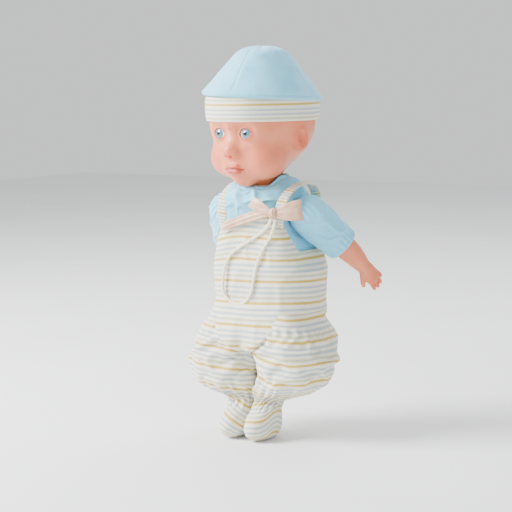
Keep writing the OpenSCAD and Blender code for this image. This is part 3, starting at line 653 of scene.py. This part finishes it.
def slackened(points, held, spare, pressure, cap):
    """Where loose cloth settles: a cloth simulation of every fourth row and column, with air pressure
    inside, spare extra length and no gravity. Rows where held is 1 stay, and no point moves further than
    the cap in mm, by the cap times tanh(move / cap)."""
    coarse = points[::COARSE, ::COARSE]
    mesh = grid_mesh("cloth_at_rest", coarse, ends=(True, True))
    cloth_object = bpy.data.objects.new("cloth_at_rest", mesh)
    collection.objects.link(cloth_object)
    group = cloth_object.vertex_groups.new(name="held")
    columns = coarse.shape[1]
    for row, weight in enumerate(held[::COARSE]):
        group.add(list(range(row * columns, (row + 1) * columns)), float(weight), "REPLACE")
    group.add([coarse.shape[0] * columns, coarse.shape[0] * columns + 1], 1.0, "REPLACE")
    cloth = cloth_object.modifiers.new("cloth", "CLOTH")
    cloth.settings.quality = 8
    cloth.settings.mass = 0.1
    cloth.settings.bending_stiffness = 0.05
    cloth.settings.use_pressure = True
    cloth.settings.uniform_pressure_force = pressure
    cloth.settings.shrink_min = -spare
    cloth.settings.vertex_group_mass = "held"
    cloth.settings.effector_weights.gravity = 0
    cloth.point_cache.frame_start, cloth.point_cache.frame_end = 1, SETTLING_FRAMES
    for frame_number in range(1, SETTLING_FRAMES + 1):
        scene.frame_set(frame_number)
        settled = cloth_object.evaluated_get(bpy.context.evaluated_depsgraph_get())
    place = np.empty(3 * len(mesh.vertices), np.float32)
    settled.data.vertices.foreach_get("co", place)
    bpy.data.objects.remove(cloth_object)
    scene.frame_set(1)
    move = place.reshape(-1, 3)[:coarse.shape[0] * columns].reshape(coarse.shape) / MM - coarse
    size = np.linalg.norm(move, axis=-1, keepdims=True) + 1e-9
    return points + finer_grid(move / size * cap * np.tanh(size / cap))


def leg_cloth(side, seed, tilt, phase):
    """Superellipse sections with folds, gathers at the ankle, and the stripe's distance along the cloth."""
    c, s = np.cos(turn), np.sin(turn)
    reach = (np.abs(c / half_x) ** square + np.abs(s / half_y) ** square) ** (-1 / square)
    x = middle_x + reach * c
    y = middle_y + reach * s
    plain = np.linalg.norm(np.diff(np.stack([x, y, leg_rows + 0 * x], -1), axis=0), axis=2)
    gather = step(leg_rows, -112, -129) * step(leg_rows, -146, -134)
    loose = step(leg_rows, -62, -88) * step(leg_rows, -134, -118)
    fold = (1.3 * crease(waves(turn, leg_rows, seed, turns=(1, 5), pitch=(45, 120)), 0.4) - 0.8) * loose
    # Creases run out from the crotch, over the front and back of the thigh
    far_x, far_z = x - 4, leg_rows + 84
    spread = np.hypot(far_x, far_z)
    fold = fold + 1.3 * np.cos(9 * np.arctan2(far_z, far_x) + seed) * np.exp(-((spread - 14) / 13) ** 2)
    fold = fold + 0.5 * waves(turn, leg_rows, seed + 1, turns=(3, 9), pitch=(20, 60)) * (0.3 + loose)
    pleat = 1.5 * gather * (np.sin(17 * turn + 1.5 * np.sin(3 * turn + seed))
                            + 0.5 * np.sin(29 * turn + seed))
    swell = fold + pleat
    x = np.maximum(x + swell * c, 0.35 + 0.15 * np.abs(s))
    y = y + swell * s
    points = np.stack([side * x, AXIS_Y + y, leg_rows + 0 * x], -1)
    if side < 0:
        points = points[:, ::-1]
    held = np.maximum(step(leg_rows[:, 0], -84, -58), step(leg_rows[:, 0], -124, -134))
    points = slackened(points, held, 0.08, 4.0, 3.5)
    points[..., 0] = side * np.maximum(side * points[..., 0], 0.35)
    run = np.vstack([np.zeros((1, plain.shape[1])), np.cumsum(plain, axis=0)])
    run = (run - run[-1:])[:, ::side]
    even = run.mean(1, keepdims=True)
    slant = (35 * tilt * (0.75 + 0.25 * step(leg_rows, -50, -100))
             * np.tanh((points[..., 0] - side * 5) / 35))
    stripe = even + 0.7 * (run - even) + slant + phase
    return points, stripe


for side, name, tilt, phase in ((1, "left", 0.34, 0.8), (-1, "right", 0.12, 1.8)):
    leg_points, stripe = leg_cloth(side, 60 + side, tilt, phase)
    leg_mesh = grid_mesh("dungarees_leg_" + name, leg_points, size=(230, 190), ends=(True, True))
    mark(leg_mesh, "stripe", stripe)
    leg = piece("dungarees_leg_" + name, leg_mesh, striped, None, ["romper_leg_" + name])
    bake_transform(leg)

# ---- Arms ----------------------------------------------------------------------------------------
# A stuffed upper arm with a rotocast vinyl forearm and hand tied into it. Each arm wears a short
# puffed sleeve, gathered at the shoulder and hemmed above the elbow.

# Rotocast PVC, flesh pink, with sprayed blush: satin, slightly translucent, faintly mottled. The face
# stores how much blush, lip colour, lash line and hair tint each point has; lip colour and lash brown
# also give painted shade in the groove between the lips.
vinyl, tree, shader = new_material("rotocast_vinyl_skin", Roughness=0.5, Subsurface_Weight=0.12,
                                   Subsurface_Scale=2.5 * MM,
                                   Coat_Weight=0.08, Coat_Roughness=0.4, IOR=1.53)
shader.inputs["Subsurface Radius"].default_value = (1.0, 0.45, 0.3)
tone = ramp(tree, noise(tree, 14, 5.0), (0.3, "#DC784E"), (0.7, "#E2855F"))
# The lash brown and the lip colour also darken the groove between the lips as painted shade
for name, colour in (("hair", "#B06A40"), ("blush", "#D64E2E"), ("lips", "#C0381C"), ("lash", "#33221C")):
    share = add(tree, "Attribute", attribute_name=name)
    tone = add(tree, "Mix", {7: linear(colour)}, {0: share.outputs["Fac"], 6: tone},
               data_type="RGBA").outputs[2]
# The mould's fine sand-blasted grain, drawn at 0.5 mm
dress(tree, shader, tone, noise(tree, 0.5, 2.0), 0.12, 0.05)

SHOULDER = np.array([50, AXIS_Y - 2, 50])


def turned(angle, axis):
    """Rotation matrix for an angle in degrees about X (0) or Y (1)."""
    return np.array(Matrix.Rotation(np.radians(angle), 3, "XY"[axis]))


arm_turn = turned(42, 0) @ turned(-25, 1) @ turned(180, 0)


def on_arm(points, side):
    """From the arm's own frame, z down the arm from the shoulder, to the left or the mirrored right arm."""
    placed = points @ arm_turn.T + SHOULDER
    return placed if side > 0 else placed * [-1, 1, 1]


def set_outwards(points, side):
    """Rows in the arm's frame run away from the shoulder, so the left arm's columns are reversed."""
    return points[:, ::-1] if side < 0 else points


turn = around(160)
SLEEVE_R, SLEEVE_LONG = 19.8, 46.5
dome = np.radians(np.linspace(-88, 0, 26))
sleeve_down = np.linspace(0, SLEEVE_LONG, 60)[1:]
sleeve_wide = np.interp(sleeve_down, [0, 14, 30, 42, SLEEVE_LONG], [SLEEVE_R, 19.6, 18.4, 17.0, 16.9])
sleeve_z = np.concatenate([SLEEVE_R * np.sin(dome), sleeve_down])[:, None]
sleeve_r = np.concatenate([SLEEVE_R * np.cos(dome), sleeve_wide])[:, None]
# The vinyl forearm: distance down the arm, middle, half depth, half width
arm_run = np.array([[36, 0, 9.5, 9.5], [40, 0, 11.4, 11.4], [48, 0, 12, 12], [60, 0, 11.2, 11],
                    [70, 0.8, 9.6, 9.2],
                    [76, 1.6, 8.3, 7.6], [79, 2, 7.9, 7.0], [83, 2.6, 8.8, 6.8], [90, 3.6, 9.6, 5.8],
                    [95, 4.2, 8.6, 4.8], [97.5, 4.4, 5, 3]])
# Fingers and thumb: root, knuckle, tip and radius
fingers = [((0, -3.6, 90), (-1.0, -5.2, 98), (-4.0, -5.6, 102.5), 2.3),
           ((0, 1.2, 92), (-1.0, 0.6, 101), (-4.2, 0.6, 105.5), 2.5),
           ((0, 5.8, 92), (-1.0, 6.2, 101), (-4.2, 6.0, 105.2), 2.5),
           ((0, 10.0, 90), (-0.8, 11.4, 98.5), (-3.6, 11.6, 103), 2.4),
           ((0, 9, 80), (-3.0, 15.0, 87), (-5.5, 16.5, 92.5), 2.7)]


def joined_mesh(name, grids, voxel):
    """Closed grids melted into one skin by a voxel remesh, then smoothed."""
    parts = [grid_mesh(name, g, ends=(True, True)) for g in grids]
    vertices, faces = [], []
    for part in parts:
        start = len(vertices)
        vertices += [v.co[:] for v in part.vertices]
        faces += [[start + i for i in f.vertices] for f in part.polygons]
    mesh = bpy.data.meshes.new(name)
    mesh.from_pydata(vertices, [], faces)
    helper = bpy.data.objects.new(name + "_raw", mesh)
    collection.objects.link(helper)
    melt = helper.modifiers.new("melt", "REMESH")
    melt.mode = "VOXEL"
    melt.voxel_size = voxel * MM
    even = helper.modifiers.new("even", "SMOOTH")
    even.factor = 0.6
    even.iterations = 8
    result = bpy.data.meshes.new_from_object(helper.evaluated_get(bpy.context.evaluated_depsgraph_get()))
    result.name = name
    bpy.data.objects.remove(helper)
    result.shade_smooth()
    return result


for side, name in ((1, "left"), (-1, "right")):
    gather = step(sleeve_z, 30, 43) * step(sleeve_z, 46.6, 44.5)
    shoulder_gather = step(sleeve_z, -2, -12)
    swell = 1.5 * crease(waves(turn, sleeve_z, 70 + side, turns=(2, 7), pitch=(30, 90)), 0.4) - 0.5
    swell = swell * step(sleeve_z, -14, 2) * step(sleeve_z, 44, 30)
    swell = (swell + 0.8 * gather * np.sin(21 * turn + np.sin(4 * turn))
             + 0.6 * shoulder_gather * np.sin(19 * turn))
    swell = swell * np.minimum(1, sleeve_r / 8) + 0.5 * np.exp(-((sleeve_z - 45) / 1.0) ** 2)
    radius = sleeve_r + swell
    sleeve_points = np.stack([radius * np.cos(turn), radius * np.sin(turn), sleeve_z + 0 * turn], -1)
    sleeve_mesh = grid_mesh("sleeve_" + name, on_arm(set_outwards(sleeve_points, side), side),
                            size=(115, 80), ends=(True, False))
    sleeve = piece("tshirt_sleeve_" + name, sleeve_mesh, blue_jersey, "arm_" + name, ["sleeve_" + name],
                   wall=1.0)

    ring = np.linspace(0, 2 * np.pi, 28, endpoint=False)[None]
    rows = np.linspace(36, 97.5, 70)
    middle, half_y, half_x = (np.interp(rows, arm_run[:, 0], arm_run[:, k])[:, None] for k in (1, 2, 3))
    limb = np.stack([half_x * np.cos(ring), middle + half_y * np.sin(ring), rows[:, None] + 0 * ring], -1)
    grids = [limb]
    for start, knuckle, tip, thick in fingers:
        line = smoothed(np.array([start, knuckle, tip]), 2)
        taper = (thick * np.sqrt(np.clip(1 - np.linspace(0, 0.98, len(line)) ** 6, 0.02, 1))
                 * np.linspace(1.05, 0.88, len(line)))
        grids.append(tube(line, taper[:, None], 16, up=(0, 1, 0.2))[:, ::-1])
    hand_mesh = joined_mesh("forearm_" + name, [on_arm(set_outwards(g, side), side) for g in grids], 0.8)
    forearm = piece("vinyl_forearm_" + name, hand_mesh, vinyl, "arm_" + name, ["forearm_" + name])
    knuckles = np.empty(len(hand_mesh.vertices) * 3, np.float32)
    hand_mesh.vertices.foreach_get("co", knuckles)
    local = ((knuckles.reshape(-1, 3) / MM) * [side, 1, 1] - SHOULDER) @ arm_turn
    mark(hand_mesh, "blush", 0.5 * step(local[:, 2], 84, 100))

# ---- Stuffed upper arms and thighs ---------------------------------------------------------------
# Tubes of calico filled with wadding, sewn shut at the top. At the lower end each is tied over the
# grooved plug of the vinyl part, so the cloth gathers there.

turn = around(100)
for limb, tie_low in (("upper_arm", False), ("thigh", True)):
    for side, name in ((1, "left"), (-1, "right")):
        node = limb + "_" + name
        low, high = (np.array(corner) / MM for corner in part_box(node))
        if tie_low:
            level = np.linspace(low[2], high[2], 60)[:, None]
            centre_x, centre_y, wide, deep = (np.interp(level, leg_shape[:, 0], leg_shape[:, k])
                                              for k in range(1, 5))
            bulge = np.sqrt(np.clip(1 - np.abs(2 * (level - low[2]) / (high[2] - low[2]) - 1) ** 5, 0.001,
                                    1))
            swell = 0.8 * bulge * (1 + 0.03 * waves(turn, level, 95 + side, turns=(2, 9), pitch=(15, 50)))
            limb_points = np.stack([side * (centre_x + wide * swell * np.cos(turn)),
                                    AXIS_Y + centre_y + deep * swell * np.sin(turn), level + 0 * turn],
                                   -1)[:, ::side]
        else:
            level = np.linspace(-15, 37, 60)[:, None]
            round_top = np.sqrt(np.clip(1 - (np.minimum(level, 0) / 15.4) ** 2, 0, 1))
            radius = 14.6 * round_top * np.interp(level, [-15, 10, 26, 34, 37], [1, 1, 0.92, 0.66, 0.62])
            radius = radius * (1 + 0.03 * waves(turn, level, 97 + side, turns=(2, 9), pitch=(15, 50)))
            tube_points = np.stack([radius * np.cos(turn), radius * np.sin(turn), level + 0 * turn], -1)
            limb_points = on_arm(set_outwards(tube_points, side), side)
        body = ("leg_" if tie_low else "arm_") + name
        limb_mesh = grid_mesh(node, limb_points, size=(100, 60), ends=(True, True))
        stuffed = piece("calico_" + node, limb_mesh, calico, body, [node])

# ---- Head ----------------------------------------------------------------------------------------
# A rotocast vinyl baby's head with full cheeks, a small nose and closed lips, painted by hand and
# mask. Its neck plugs into the trunk. The scalp under the hat is moulded as short swept hair.

NECK = np.array([0, NECK_Y, 0])
head_turn = np.array(Matrix.Rotation(np.radians(-4), 3, "Z"))


def on_neck(points):
    """From the head's own frame, facing -Y over the neck, to the doll's: turned 4 degrees to its right."""
    return points @ head_turn.T + NECK


def join(a, b, soft):
    """Smooth minimum: the smaller distance, less h squared / 4 soft where they differ by under soft."""
    h = np.maximum(soft - np.abs(a - b), 0)
    return np.minimum(a, b) - h * h / (4 * soft)


def egg(p, centre, radii):
    """Near distance to an ellipsoid: k0 (k0 - 1) / k1, from the lengths of q / r and q / r squared."""
    q = p - np.array(centre, float)
    r = np.array(radii, float)
    k0 = np.linalg.norm(q / r, axis=-1) + 1e-9
    return k0 * (k0 - 1) / (np.linalg.norm(q / r ** 2, axis=-1) + 1e-9)


def bar(p, start, end, radius):
    """Distance to a round bar between two points."""
    a, b = np.array(start, float), np.array(end, float)
    share = np.clip(((p - a) @ (b - a)) / ((b - a) @ (b - a)), 0, 1)
    return np.linalg.norm(p - a - share[..., None] * (b - a), axis=-1) - radius


EYE = np.array([16.2, -36.2, 131.5])
EYE_HALF_WIDE, UPPER_LID, LOWER_LID, LID_POWER = 6.9, 5.1, 4.6, 2.4
SOCKET_R = 9.6


def lips_upper(p):
    """Distance to the upper lip: a bar to each corner, joined to two low swellings and the middle bud."""
    q = np.concatenate([np.abs(p[..., :1]), p[..., 1:]], -1)
    bow = join(bar(q, (1.2, -46.9, 100.4), (10.6, -42.6, 97.4), 1.0),
               egg(q, (3.4, -46.2, 100.3), (4.8, 2.5, 1.9)), 2)
    return join(bow, egg(q, (0, -46.7, 99.4), (2.8, 2.4, 1.7)), 2)


def lips_lower(p):
    """Distance to the lower lip: a broad swelling with a thin bar to each corner."""
    q = np.concatenate([np.abs(p[..., :1]), p[..., 1:]], -1)
    swelling = egg(q, (2.4, -44.8, 94.9), (6.0, 3.2, 2.7))
    return join(swelling, bar(q, (3, -44.6, 95.2), (10.2, -42.4, 97.0), 0.9), 2.5)


def head_distance(p):
    """Smooth union of the skull, jaw, cheeks, muzzle, chin, nose, ears and neck, less the eye sockets,
    nostrils and the line between the lips; mirrored left and right."""
    q = np.concatenate([np.abs(p[..., :1]), p[..., 1:]], -1)
    below = np.where(p[..., 2] < 143, 50.0, 54.0)
    k = p - np.array([0, 0.5, 143.0])
    d = (np.sqrt((k[..., 0] / 51.0) ** 2 + (k[..., 1] / 54.5) ** 2 + (k[..., 2] / below) ** 2) - 1) * 49
    d = join(d, egg(p, (0, -12, 113), (37.5, 32, 30.5)), 10)
    d = join(d, egg(q, (21.5, -22.8, 106.3), (20.3, 19.8, 18)), 9)
    d = join(d, egg(p, (0, -24, 118), (21, 24, 22)), 8)
    d = join(d, egg(p, (0, -30, 99), (18.5, 16.2, 12.5)), 7)
    d = join(d, egg(p, (0, -26.5, 88.5), (11, 11.5, 9.5)), 7)
    d = join(d, bar(p, (0, 0, 60), (0, 2, 98), 16.6), 9)
    d = -join(-d, egg(q, (16.5, -58, 131), (14.5, 14.6, 11.5)), 7)
    d = -join(-d, egg(p, (0, -61.5, 127), (19, 13, 9)), 8)
    d = join(d, egg(q, EYE, (11.5, 11.4, 11.5)), 2.5)
    d = join(d, bar(p, (0, -43.5, 125), (0, -48.6, 117.5), 4.4), 9)
    d = join(d, egg(p, (0, -50.0, 114.6), (5.8, 5.4, 5.2)), 5)
    d = join(d, egg(q, (5.6, -47.8, 113.0), (3.8, 4.2, 3.6)), 4)
    d = -join(-d, egg(q, (2.7, -52.0, 110.0), (1.5, 2.0, 1.3)), 1.2)
    d = -join(-d, bar(p, (0, -49.0, 108), (0, -48.8, 103.6), 1.1), 1.8)
    d = join(d, lips_upper(p), 1.8)
    d = join(d, lips_lower(p), 1.8)
    d = -join(-d, bar(q, (0, -48.6, 97.3), (5.6, -47.1, 97.4), 0.8), 1.0)
    d = -join(-d, bar(q, (5.6, -47.1, 97.4), (11.6, -43.0, 96.8), 0.7), 1.0)
    ear = q - np.array([47.6, -1.5, 125.5])
    ear_y, ear_z, ear_x = ear[..., 1] / 6.5, ear[..., 2] / 9.5, ear[..., 0] - 0.25 * ear[..., 1] - 2.0
    rim = np.sqrt((7.8 * (np.sqrt(ear_y ** 2 + ear_z ** 2) - 1)) ** 2 + ear_x ** 2) - 2.0
    bowl = egg(q, (47.0, -1.5, 125.5), (4.2, 6.8, 9.8))
    d = join(d, join(bowl, rim, 1.5), 2.0)
    return -join(-d, egg(q, (52.4, -2.0, 126.5), (3.8, 3.4, 5.8)), 1.8)


def almond(p):
    """How far past the edge of the eye's opening, |z| less a height falling as 1 - |x / w|^2.4, and z."""
    s = np.abs(p[..., 0]) - EYE[0]
    t = p[..., 2] - EYE[2] - 0.06 * s
    lid = np.where(t > 0, UPPER_LID, LOWER_LID)
    height = lid * (1 - np.clip(np.abs(s) / EYE_HALF_WIDE, 0, 1.6) ** LID_POWER)
    slope = lid * LID_POWER / EYE_HALF_WIDE * np.clip(np.abs(s) / EYE_HALF_WIDE, 0, 1.2) ** (LID_POWER - 1)
    return (np.abs(t) - height) / np.sqrt(1 + slope ** 2), t


def warped(count, low, high, focus, spread, gain):
    """Values from low to high, packed 1 + gain times closer around the focus."""
    raw = np.linspace(low, high, 4000)
    density = np.cumsum(1 + gain * np.exp(-((raw - focus) / spread) ** 2))
    return np.interp(np.linspace(density[0], density[-1], count), density, raw)


azimuth = warped(421, -np.pi, np.pi, 0, 0.62, 4.0)[:-1][None] - np.pi / 2
lift = warped(236, np.radians(-89), np.radians(89), np.radians(2), 0.42, 2.2)[:, None]
aim = np.stack([np.cos(lift) * np.cos(azimuth), np.cos(lift) * np.sin(azimuth), np.sin(lift)
                + 0 * azimuth], -1)
heart = np.array([0, -8.0, 119.0])
near, far = np.full(aim.shape[:2], 8.0), np.full(aim.shape[:2], 95.0)
for _ in range(24):
    half = (near + far) / 2
    inside = head_distance(heart + aim * half[..., None]) < 0
    near, far = np.where(inside, half, near), np.where(inside, far, half)
reach = (near + far) / 2
skin = heart + aim * reach[..., None]
edge, above = almond(skin)
facing = step(-skin[..., 1], 34, 38)
reach = reach + facing * 0.35 * np.exp(-((edge - 0.55) / 0.5) ** 2)
reach = reach - facing * 0.55 * np.exp(-((edge - 3.4) / 0.7) ** 2) * step(above, 1, 3)
# Inside the lids the skin drops behind the eyeball
for mirror in (1, -1):
    centre = EYE * [mirror, 1, 1]
    along = (aim * (centre - heart)).sum(-1)
    miss = ((heart + aim * along[..., None] - centre) ** 2).sum(-1)
    behind = along + np.sqrt(np.clip(SOCKET_R ** 2 - miss, 0, None))
    opening = step(edge, 0.12, -0.28) * facing * (miss < SOCKET_R ** 2) * (np.sign(skin[..., 0]) == mirror)
    reach = reach * (1 - opening) + behind * opening
skin = heart + aim * reach[..., None]
hair = step(skin[..., 2], 147, 152)
strands = np.sin(26 * azimuth + 7 * np.sin(5 * lift + 2 * azimuth) + 9 * lift)
skin = skin + aim * (0.35 * hair * strands)[..., None]
head_mesh = grid_mesh("head", on_neck(skin), ends=(True, True))
lips = (np.maximum(step(lips_upper(skin), 1.3, -0.1), step(lips_lower(skin), 1.3, -0.1))
        * step(-skin[..., 1], 40, 42))
folded = np.concatenate([np.abs(skin[..., :1]), skin[..., 1:]], -1)
# The line between the lips: lip colour at full strength and a third of the lash brown, lip paint darkened
# as painted shade in the carved groove
parting_shade = np.minimum(bar(folded, (0, -47.6, 97.3), (5.6, -46.1, 97.4), 0),
                     bar(folded, (5.6, -46.1, 97.4), (11.0, -42.4, 96.8), 0))
parting_shade = np.exp(-(parting_shade / 1.3) ** 2)
lower = step(skin[..., 2], 97.6, 96.6)
mark(head_mesh, "lips", np.maximum((0.6 + 0.25 * lower) * lips, parting_shade))
lash = np.exp(-((edge - 0.4) / 0.55) ** 2) * (0.35 + 0.65 * step(above, -0.5, 2.0)) * facing
mark(head_mesh, "lash", np.maximum(0.9 * lash, 0.35 * parting_shade))
# Sprayed blush around the eyes, then on the cheeks, nose, mouth, chin and ears: strength, middle, spread
blush = 0.45 * facing * np.exp(-((edge - 1.6) / 1.8) ** 2)
for share, spot, spread in ((0.4, (27, -38, 107), 13), (0.35, (0, -54, 113), 7), (0.35, (0, -46, 98), 12),
                            (0.35, (0, -36, 86), 9), (0.5, (50, -2, 125), 10)):
    blush += share * np.exp(-(np.linalg.norm(folded - spot, axis=-1) / spread) ** 2)
mark(head_mesh, "blush", np.clip(blush, 0, 1))
mark(head_mesh, "hair", 0.7 * hair)
head = piece("head_skin", head_mesh, vinyl, "head", ["head_shell"])

# ---- Eyes ----------------------------------------------------------------------------------------
# Fixed acrylic eyes: a white ball with a printed blue-grey iris under a clear, polished dome.

acrylic, tree, shader = new_material("cast_acrylic_eye", Roughness=0.12, Coat_Weight=1.0,
                                     Coat_Roughness=0.02, IOR=1.49)
ray = add(tree, "Attribute", attribute_name="ray")
spoke = add(tree, "Attribute", attribute_name="spoke")
# From the pole outwards: pupil, iris, its dark rim, then the white of the ball
ring = ramp(tree, ray.outputs["Fac"], (0.0, "#0C1014"), (0.17, "#0C1014"), (0.21, "#3F6F8C"),
            (0.34, "#6FA6C4"),
            (0.42, "#4A83A3"), (0.455, "#1F3A4A"), (0.50, "#C9D0D2"), (0.58, "#F5F3EE"), (0.9, "#EFE0D6"))
fibre = ramp(tree, spoke.outputs["Fac"], (0.2, "#8FA9B5"), (0.9, "#FFFFFF"))
tone = add(tree, "Mix", {0: 0.55}, {6: ring, 7: fibre}, data_type="RGBA", blend_type="MULTIPLY")
tree.links.new(tone.outputs[2], shader.inputs["Base Color"])
eye_r = 10.5
polar = np.linspace(0.01, np.pi, 90)[:, None]
turn = around(96)
dome = eye_r + 0.55 * np.exp(-(polar / 0.38) ** 4)
for side, name in ((1, "left"), (-1, "right")):
    ball = np.stack([dome * np.sin(polar) * np.cos(turn), -dome * np.cos(polar) + 0 * turn,
                     dome * np.sin(polar) * np.sin(turn)], -1)
    toe = np.array(Matrix.Rotation(np.radians(5 * side), 3, "Z"))
    ball = ball @ toe.T + EYE * [side, 1, 1]
    eye_mesh = grid_mesh("eye_" + name, on_neck(ball), ends=(True, True))
    mark(eye_mesh, "ray", polar + 0 * turn)
    mark(eye_mesh, "spoke", 0.5 + 0.25 * np.sin(37 * turn + 3 * np.sin(5 * turn))
         + 0.25 * np.sin(61 * turn) + 0 * polar + step(polar, 0.44, 0.48))
    eye = piece("acrylic_eye_" + name, eye_mesh, acrylic, "head", ["eye_" + name])

# ---- Hat -----------------------------------------------------------------------------------------
# A pale-blue jersey hat cut from four panels, with a folded band of the striped jersey sewn inside
# its lower edge, so the crown stands a little proud of the band.

SEAM_TURN = np.radians(80)
RIM_DROP = 0.06
turn = around(280)
crown_line = np.array([[167.4, 53.0], [166.4, 55.6], [167.6, 57.6], [170.4, 57.8], [174, 54.8],
                       [182, 48.4], [190, 41.9],
                       [198, 35.3], [204, 30.3], [208.5, 26.2], [212, 21.8], [214.4, 16.0], [215.6, 9],
                       [216, 2.5]])
crown_line = smoothed(np.column_stack([crown_line, 0 * crown_line[:, 0]]), 3)
level, radius = crown_line[:, :1], crown_line[:, 1:2]
panel = np.abs(np.sin(2 * (turn + SEAM_TURN)))
seam = np.exp(-(panel / 0.045) ** 2)
slack = waves(turn, level, 81, turns=(2, 8), pitch=(40, 140))
swell = (0.5 * crease(slack, 0.35) + 0.35 * waves(turn, level, 82, turns=(3, 12), pitch=(20, 60))
         - 0.9 * seam * step(level, 168, 174))
radius = radius + swell * np.minimum(1, radius / 14)
crown_points = np.stack([radius * np.cos(turn), 1.0 + 1.055 * radius * np.sin(turn), level + 0.5 * slack
                         * step(level, 205, 214)], -1)
# The rim droops towards the doll's left and back, where the crown hangs over more of the band
crown_points[..., 2] -= (RIM_DROP * (0.77 * crown_points[..., 0] + 0.64 * crown_points[..., 1] + 20)
                         * step(level, 212, 170))
crown_mesh = grid_mesh("hat_crown", on_neck(crown_points), size=(330, 90), ends=(False, True))
crown = piece("hat_crown_jersey", crown_mesh, blue_jersey, "hat", ["hat_crown"], wall=1.2)

band_line = np.array([[166.5, 50.6], [158, 51.3], [150, 51.2], [145.4, 50.8], [143.6, 51.6], [143.2, 52.8],
                      [144.2, 54.0],
                      [147, 54.6], [152, 54.9], [160, 55.2], [166, 54.6], [168.5, 52.6]])
band_line = smoothed(np.column_stack([band_line, 0 * band_line[:, 0]]), 3)
level, radius = band_line[:, :1], band_line[:, 1:2]
radius = (radius + 0.35 * waves(turn, level, 91, turns=(3, 11), pitch=(60, 160))
          - 0.6 * np.exp(-(np.sin((turn - 2.2) / 2) / 0.012) ** 2))
band_points = np.stack([radius * np.cos(turn), 1.0 + 1.06 * radius * np.sin(turn), level
                        + 0.35 * waves(turn, 0, 92)], -1)
band_mesh = grid_mesh("hat_band", on_neck(band_points), size=(330, 46))
mark(band_mesh, "stripe", (level - 159.6 + 0 * turn) * 1.22 + 1.4)
band = piece("hat_band_striped", band_mesh, striped, "hat", ["hat_band"])

# ---- Voice unit, ties and vinyl shins ------------------------------------------------------------
# These keep their moulded, stamped or wound shapes. Each gets the finish of what it is made of: moulded
# ABS, fibreglass board, nickel plate, zinc plate, brass, spring steel, paper, nylon, loop tape, vinyl.


def made_of(name, dark, light, size, depth, stretch=(1, 1, 1), **values):
    """Material whose colour drifts between two tones over size mm, with a relief of depth mm on the same
    grain; stretch draws the grain out into brushed lines, mould flow or fibres."""
    made, tree, shader = new_material(name, **values)
    place = add(tree, "TexCoord").outputs["Object"]
    drawn = add(tree, "Mapping", {"Scale": stretch}, {"Vector": place}).outputs["Vector"]
    grain = noise(tree, size, 5.0, drawn)
    dress(tree, shader, ramp(tree, grain, (0.35, dark), (0.65, light)), grain, 0.4, depth)
    return made


# Spark-eroded white ABS: satin with a 0.8 mm texture; the button is a softer coral grade
case_abs = made_of("moulded_white_ABS", "#DAD9D3", "#E8E7E2", 0.8, 0.04, Roughness=0.42, IOR=1.53)
button_abs = made_of("moulded_coral_ABS", "#C85A4C", "#D66A5A", 0.8, 0.04, Roughness=0.4, IOR=1.53)
switch_abs = made_of("moulded_black_ABS", "#17181A", "#242528", 0.6, 0.03, Roughness=0.45, IOR=1.53)
# Fibreglass board under green resist: gloss, with the weave of the glass cloth showing through
board = made_of("fibreglass_board_green_resist", "#0F4A2E", "#1B6A42", 1.2, 0.05, (1, 1, 3),
                Roughness=0.28, Coat_Weight=0.5)
# Stamped brass, nickel-plated cell cases, zinc-plated screws and spring wire: fine drawn lines
brass = made_of("stamped_brass", "#B08A3C", "#D9B866", 0.7, 0.02, (1, 6, 1), Metallic=1.0, Roughness=0.3)
nickel = made_of("nickel_plated_steel", "#A9A69E", "#D2CFC6", 1.5, 0.01, (1, 6, 1), Metallic=1.0,
                 Roughness=0.22)
zinc = made_of("zinc_plated_steel", "#8E939B", "#C3C8CE", 0.9, 0.03, Metallic=1.0, Roughness=0.36)
spring = made_of("drawn_spring_steel", "#6C6A66", "#A5A29B", 0.5, 0.02, (1, 1, 5), Metallic=1.0,
                 Roughness=0.33)
# Pressed paper cone, black, with felted fibre; nylon ties, milky and slightly see-through at the edge
cone = made_of("pressed_paper_cone", "#141414", "#2A2926", 0.9, 0.08, Roughness=0.85)
nylon = made_of("moulded_nylon_tie", "#DEDCD2", "#F0EFE8", 1.4, 0.03, (1, 1, 4), Roughness=0.38, IOR=1.53)
# Loop tape: brushed nylon loops in a 0.7 mm tangle on a woven ground
loops = made_of("brushed_nylon_loop_tape", "#D6D2C4", "#F1EEE2", 0.7, 0.35, Roughness=0.95,
                Sheen_Weight=0.6)
finishes = {
    case_abs: ["voice_case_front", "voice_case_back", "battery_door"], button_abs: ["press_button"],
    switch_abs: ["switch_slider"], board: ["circuit_board"], brass: ["battery_contacts"],
    nickel: ["button_cells"],
    zinc: ["case_screws", "battery_door_screw"], spring: ["press_spring"], cone: ["speaker"],
    loops: ["closure_loop_tape"],
    nylon: ["neck_tie", "arm_tie_left", "arm_tie_right", "leg_tie_left", "leg_tie_right"],
    vinyl: ["lower_leg_left", "lower_leg_right"],
}
for finish, names in finishes.items():
    for name in names:
        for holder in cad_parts[name].material_slots:
            holder.material = finish
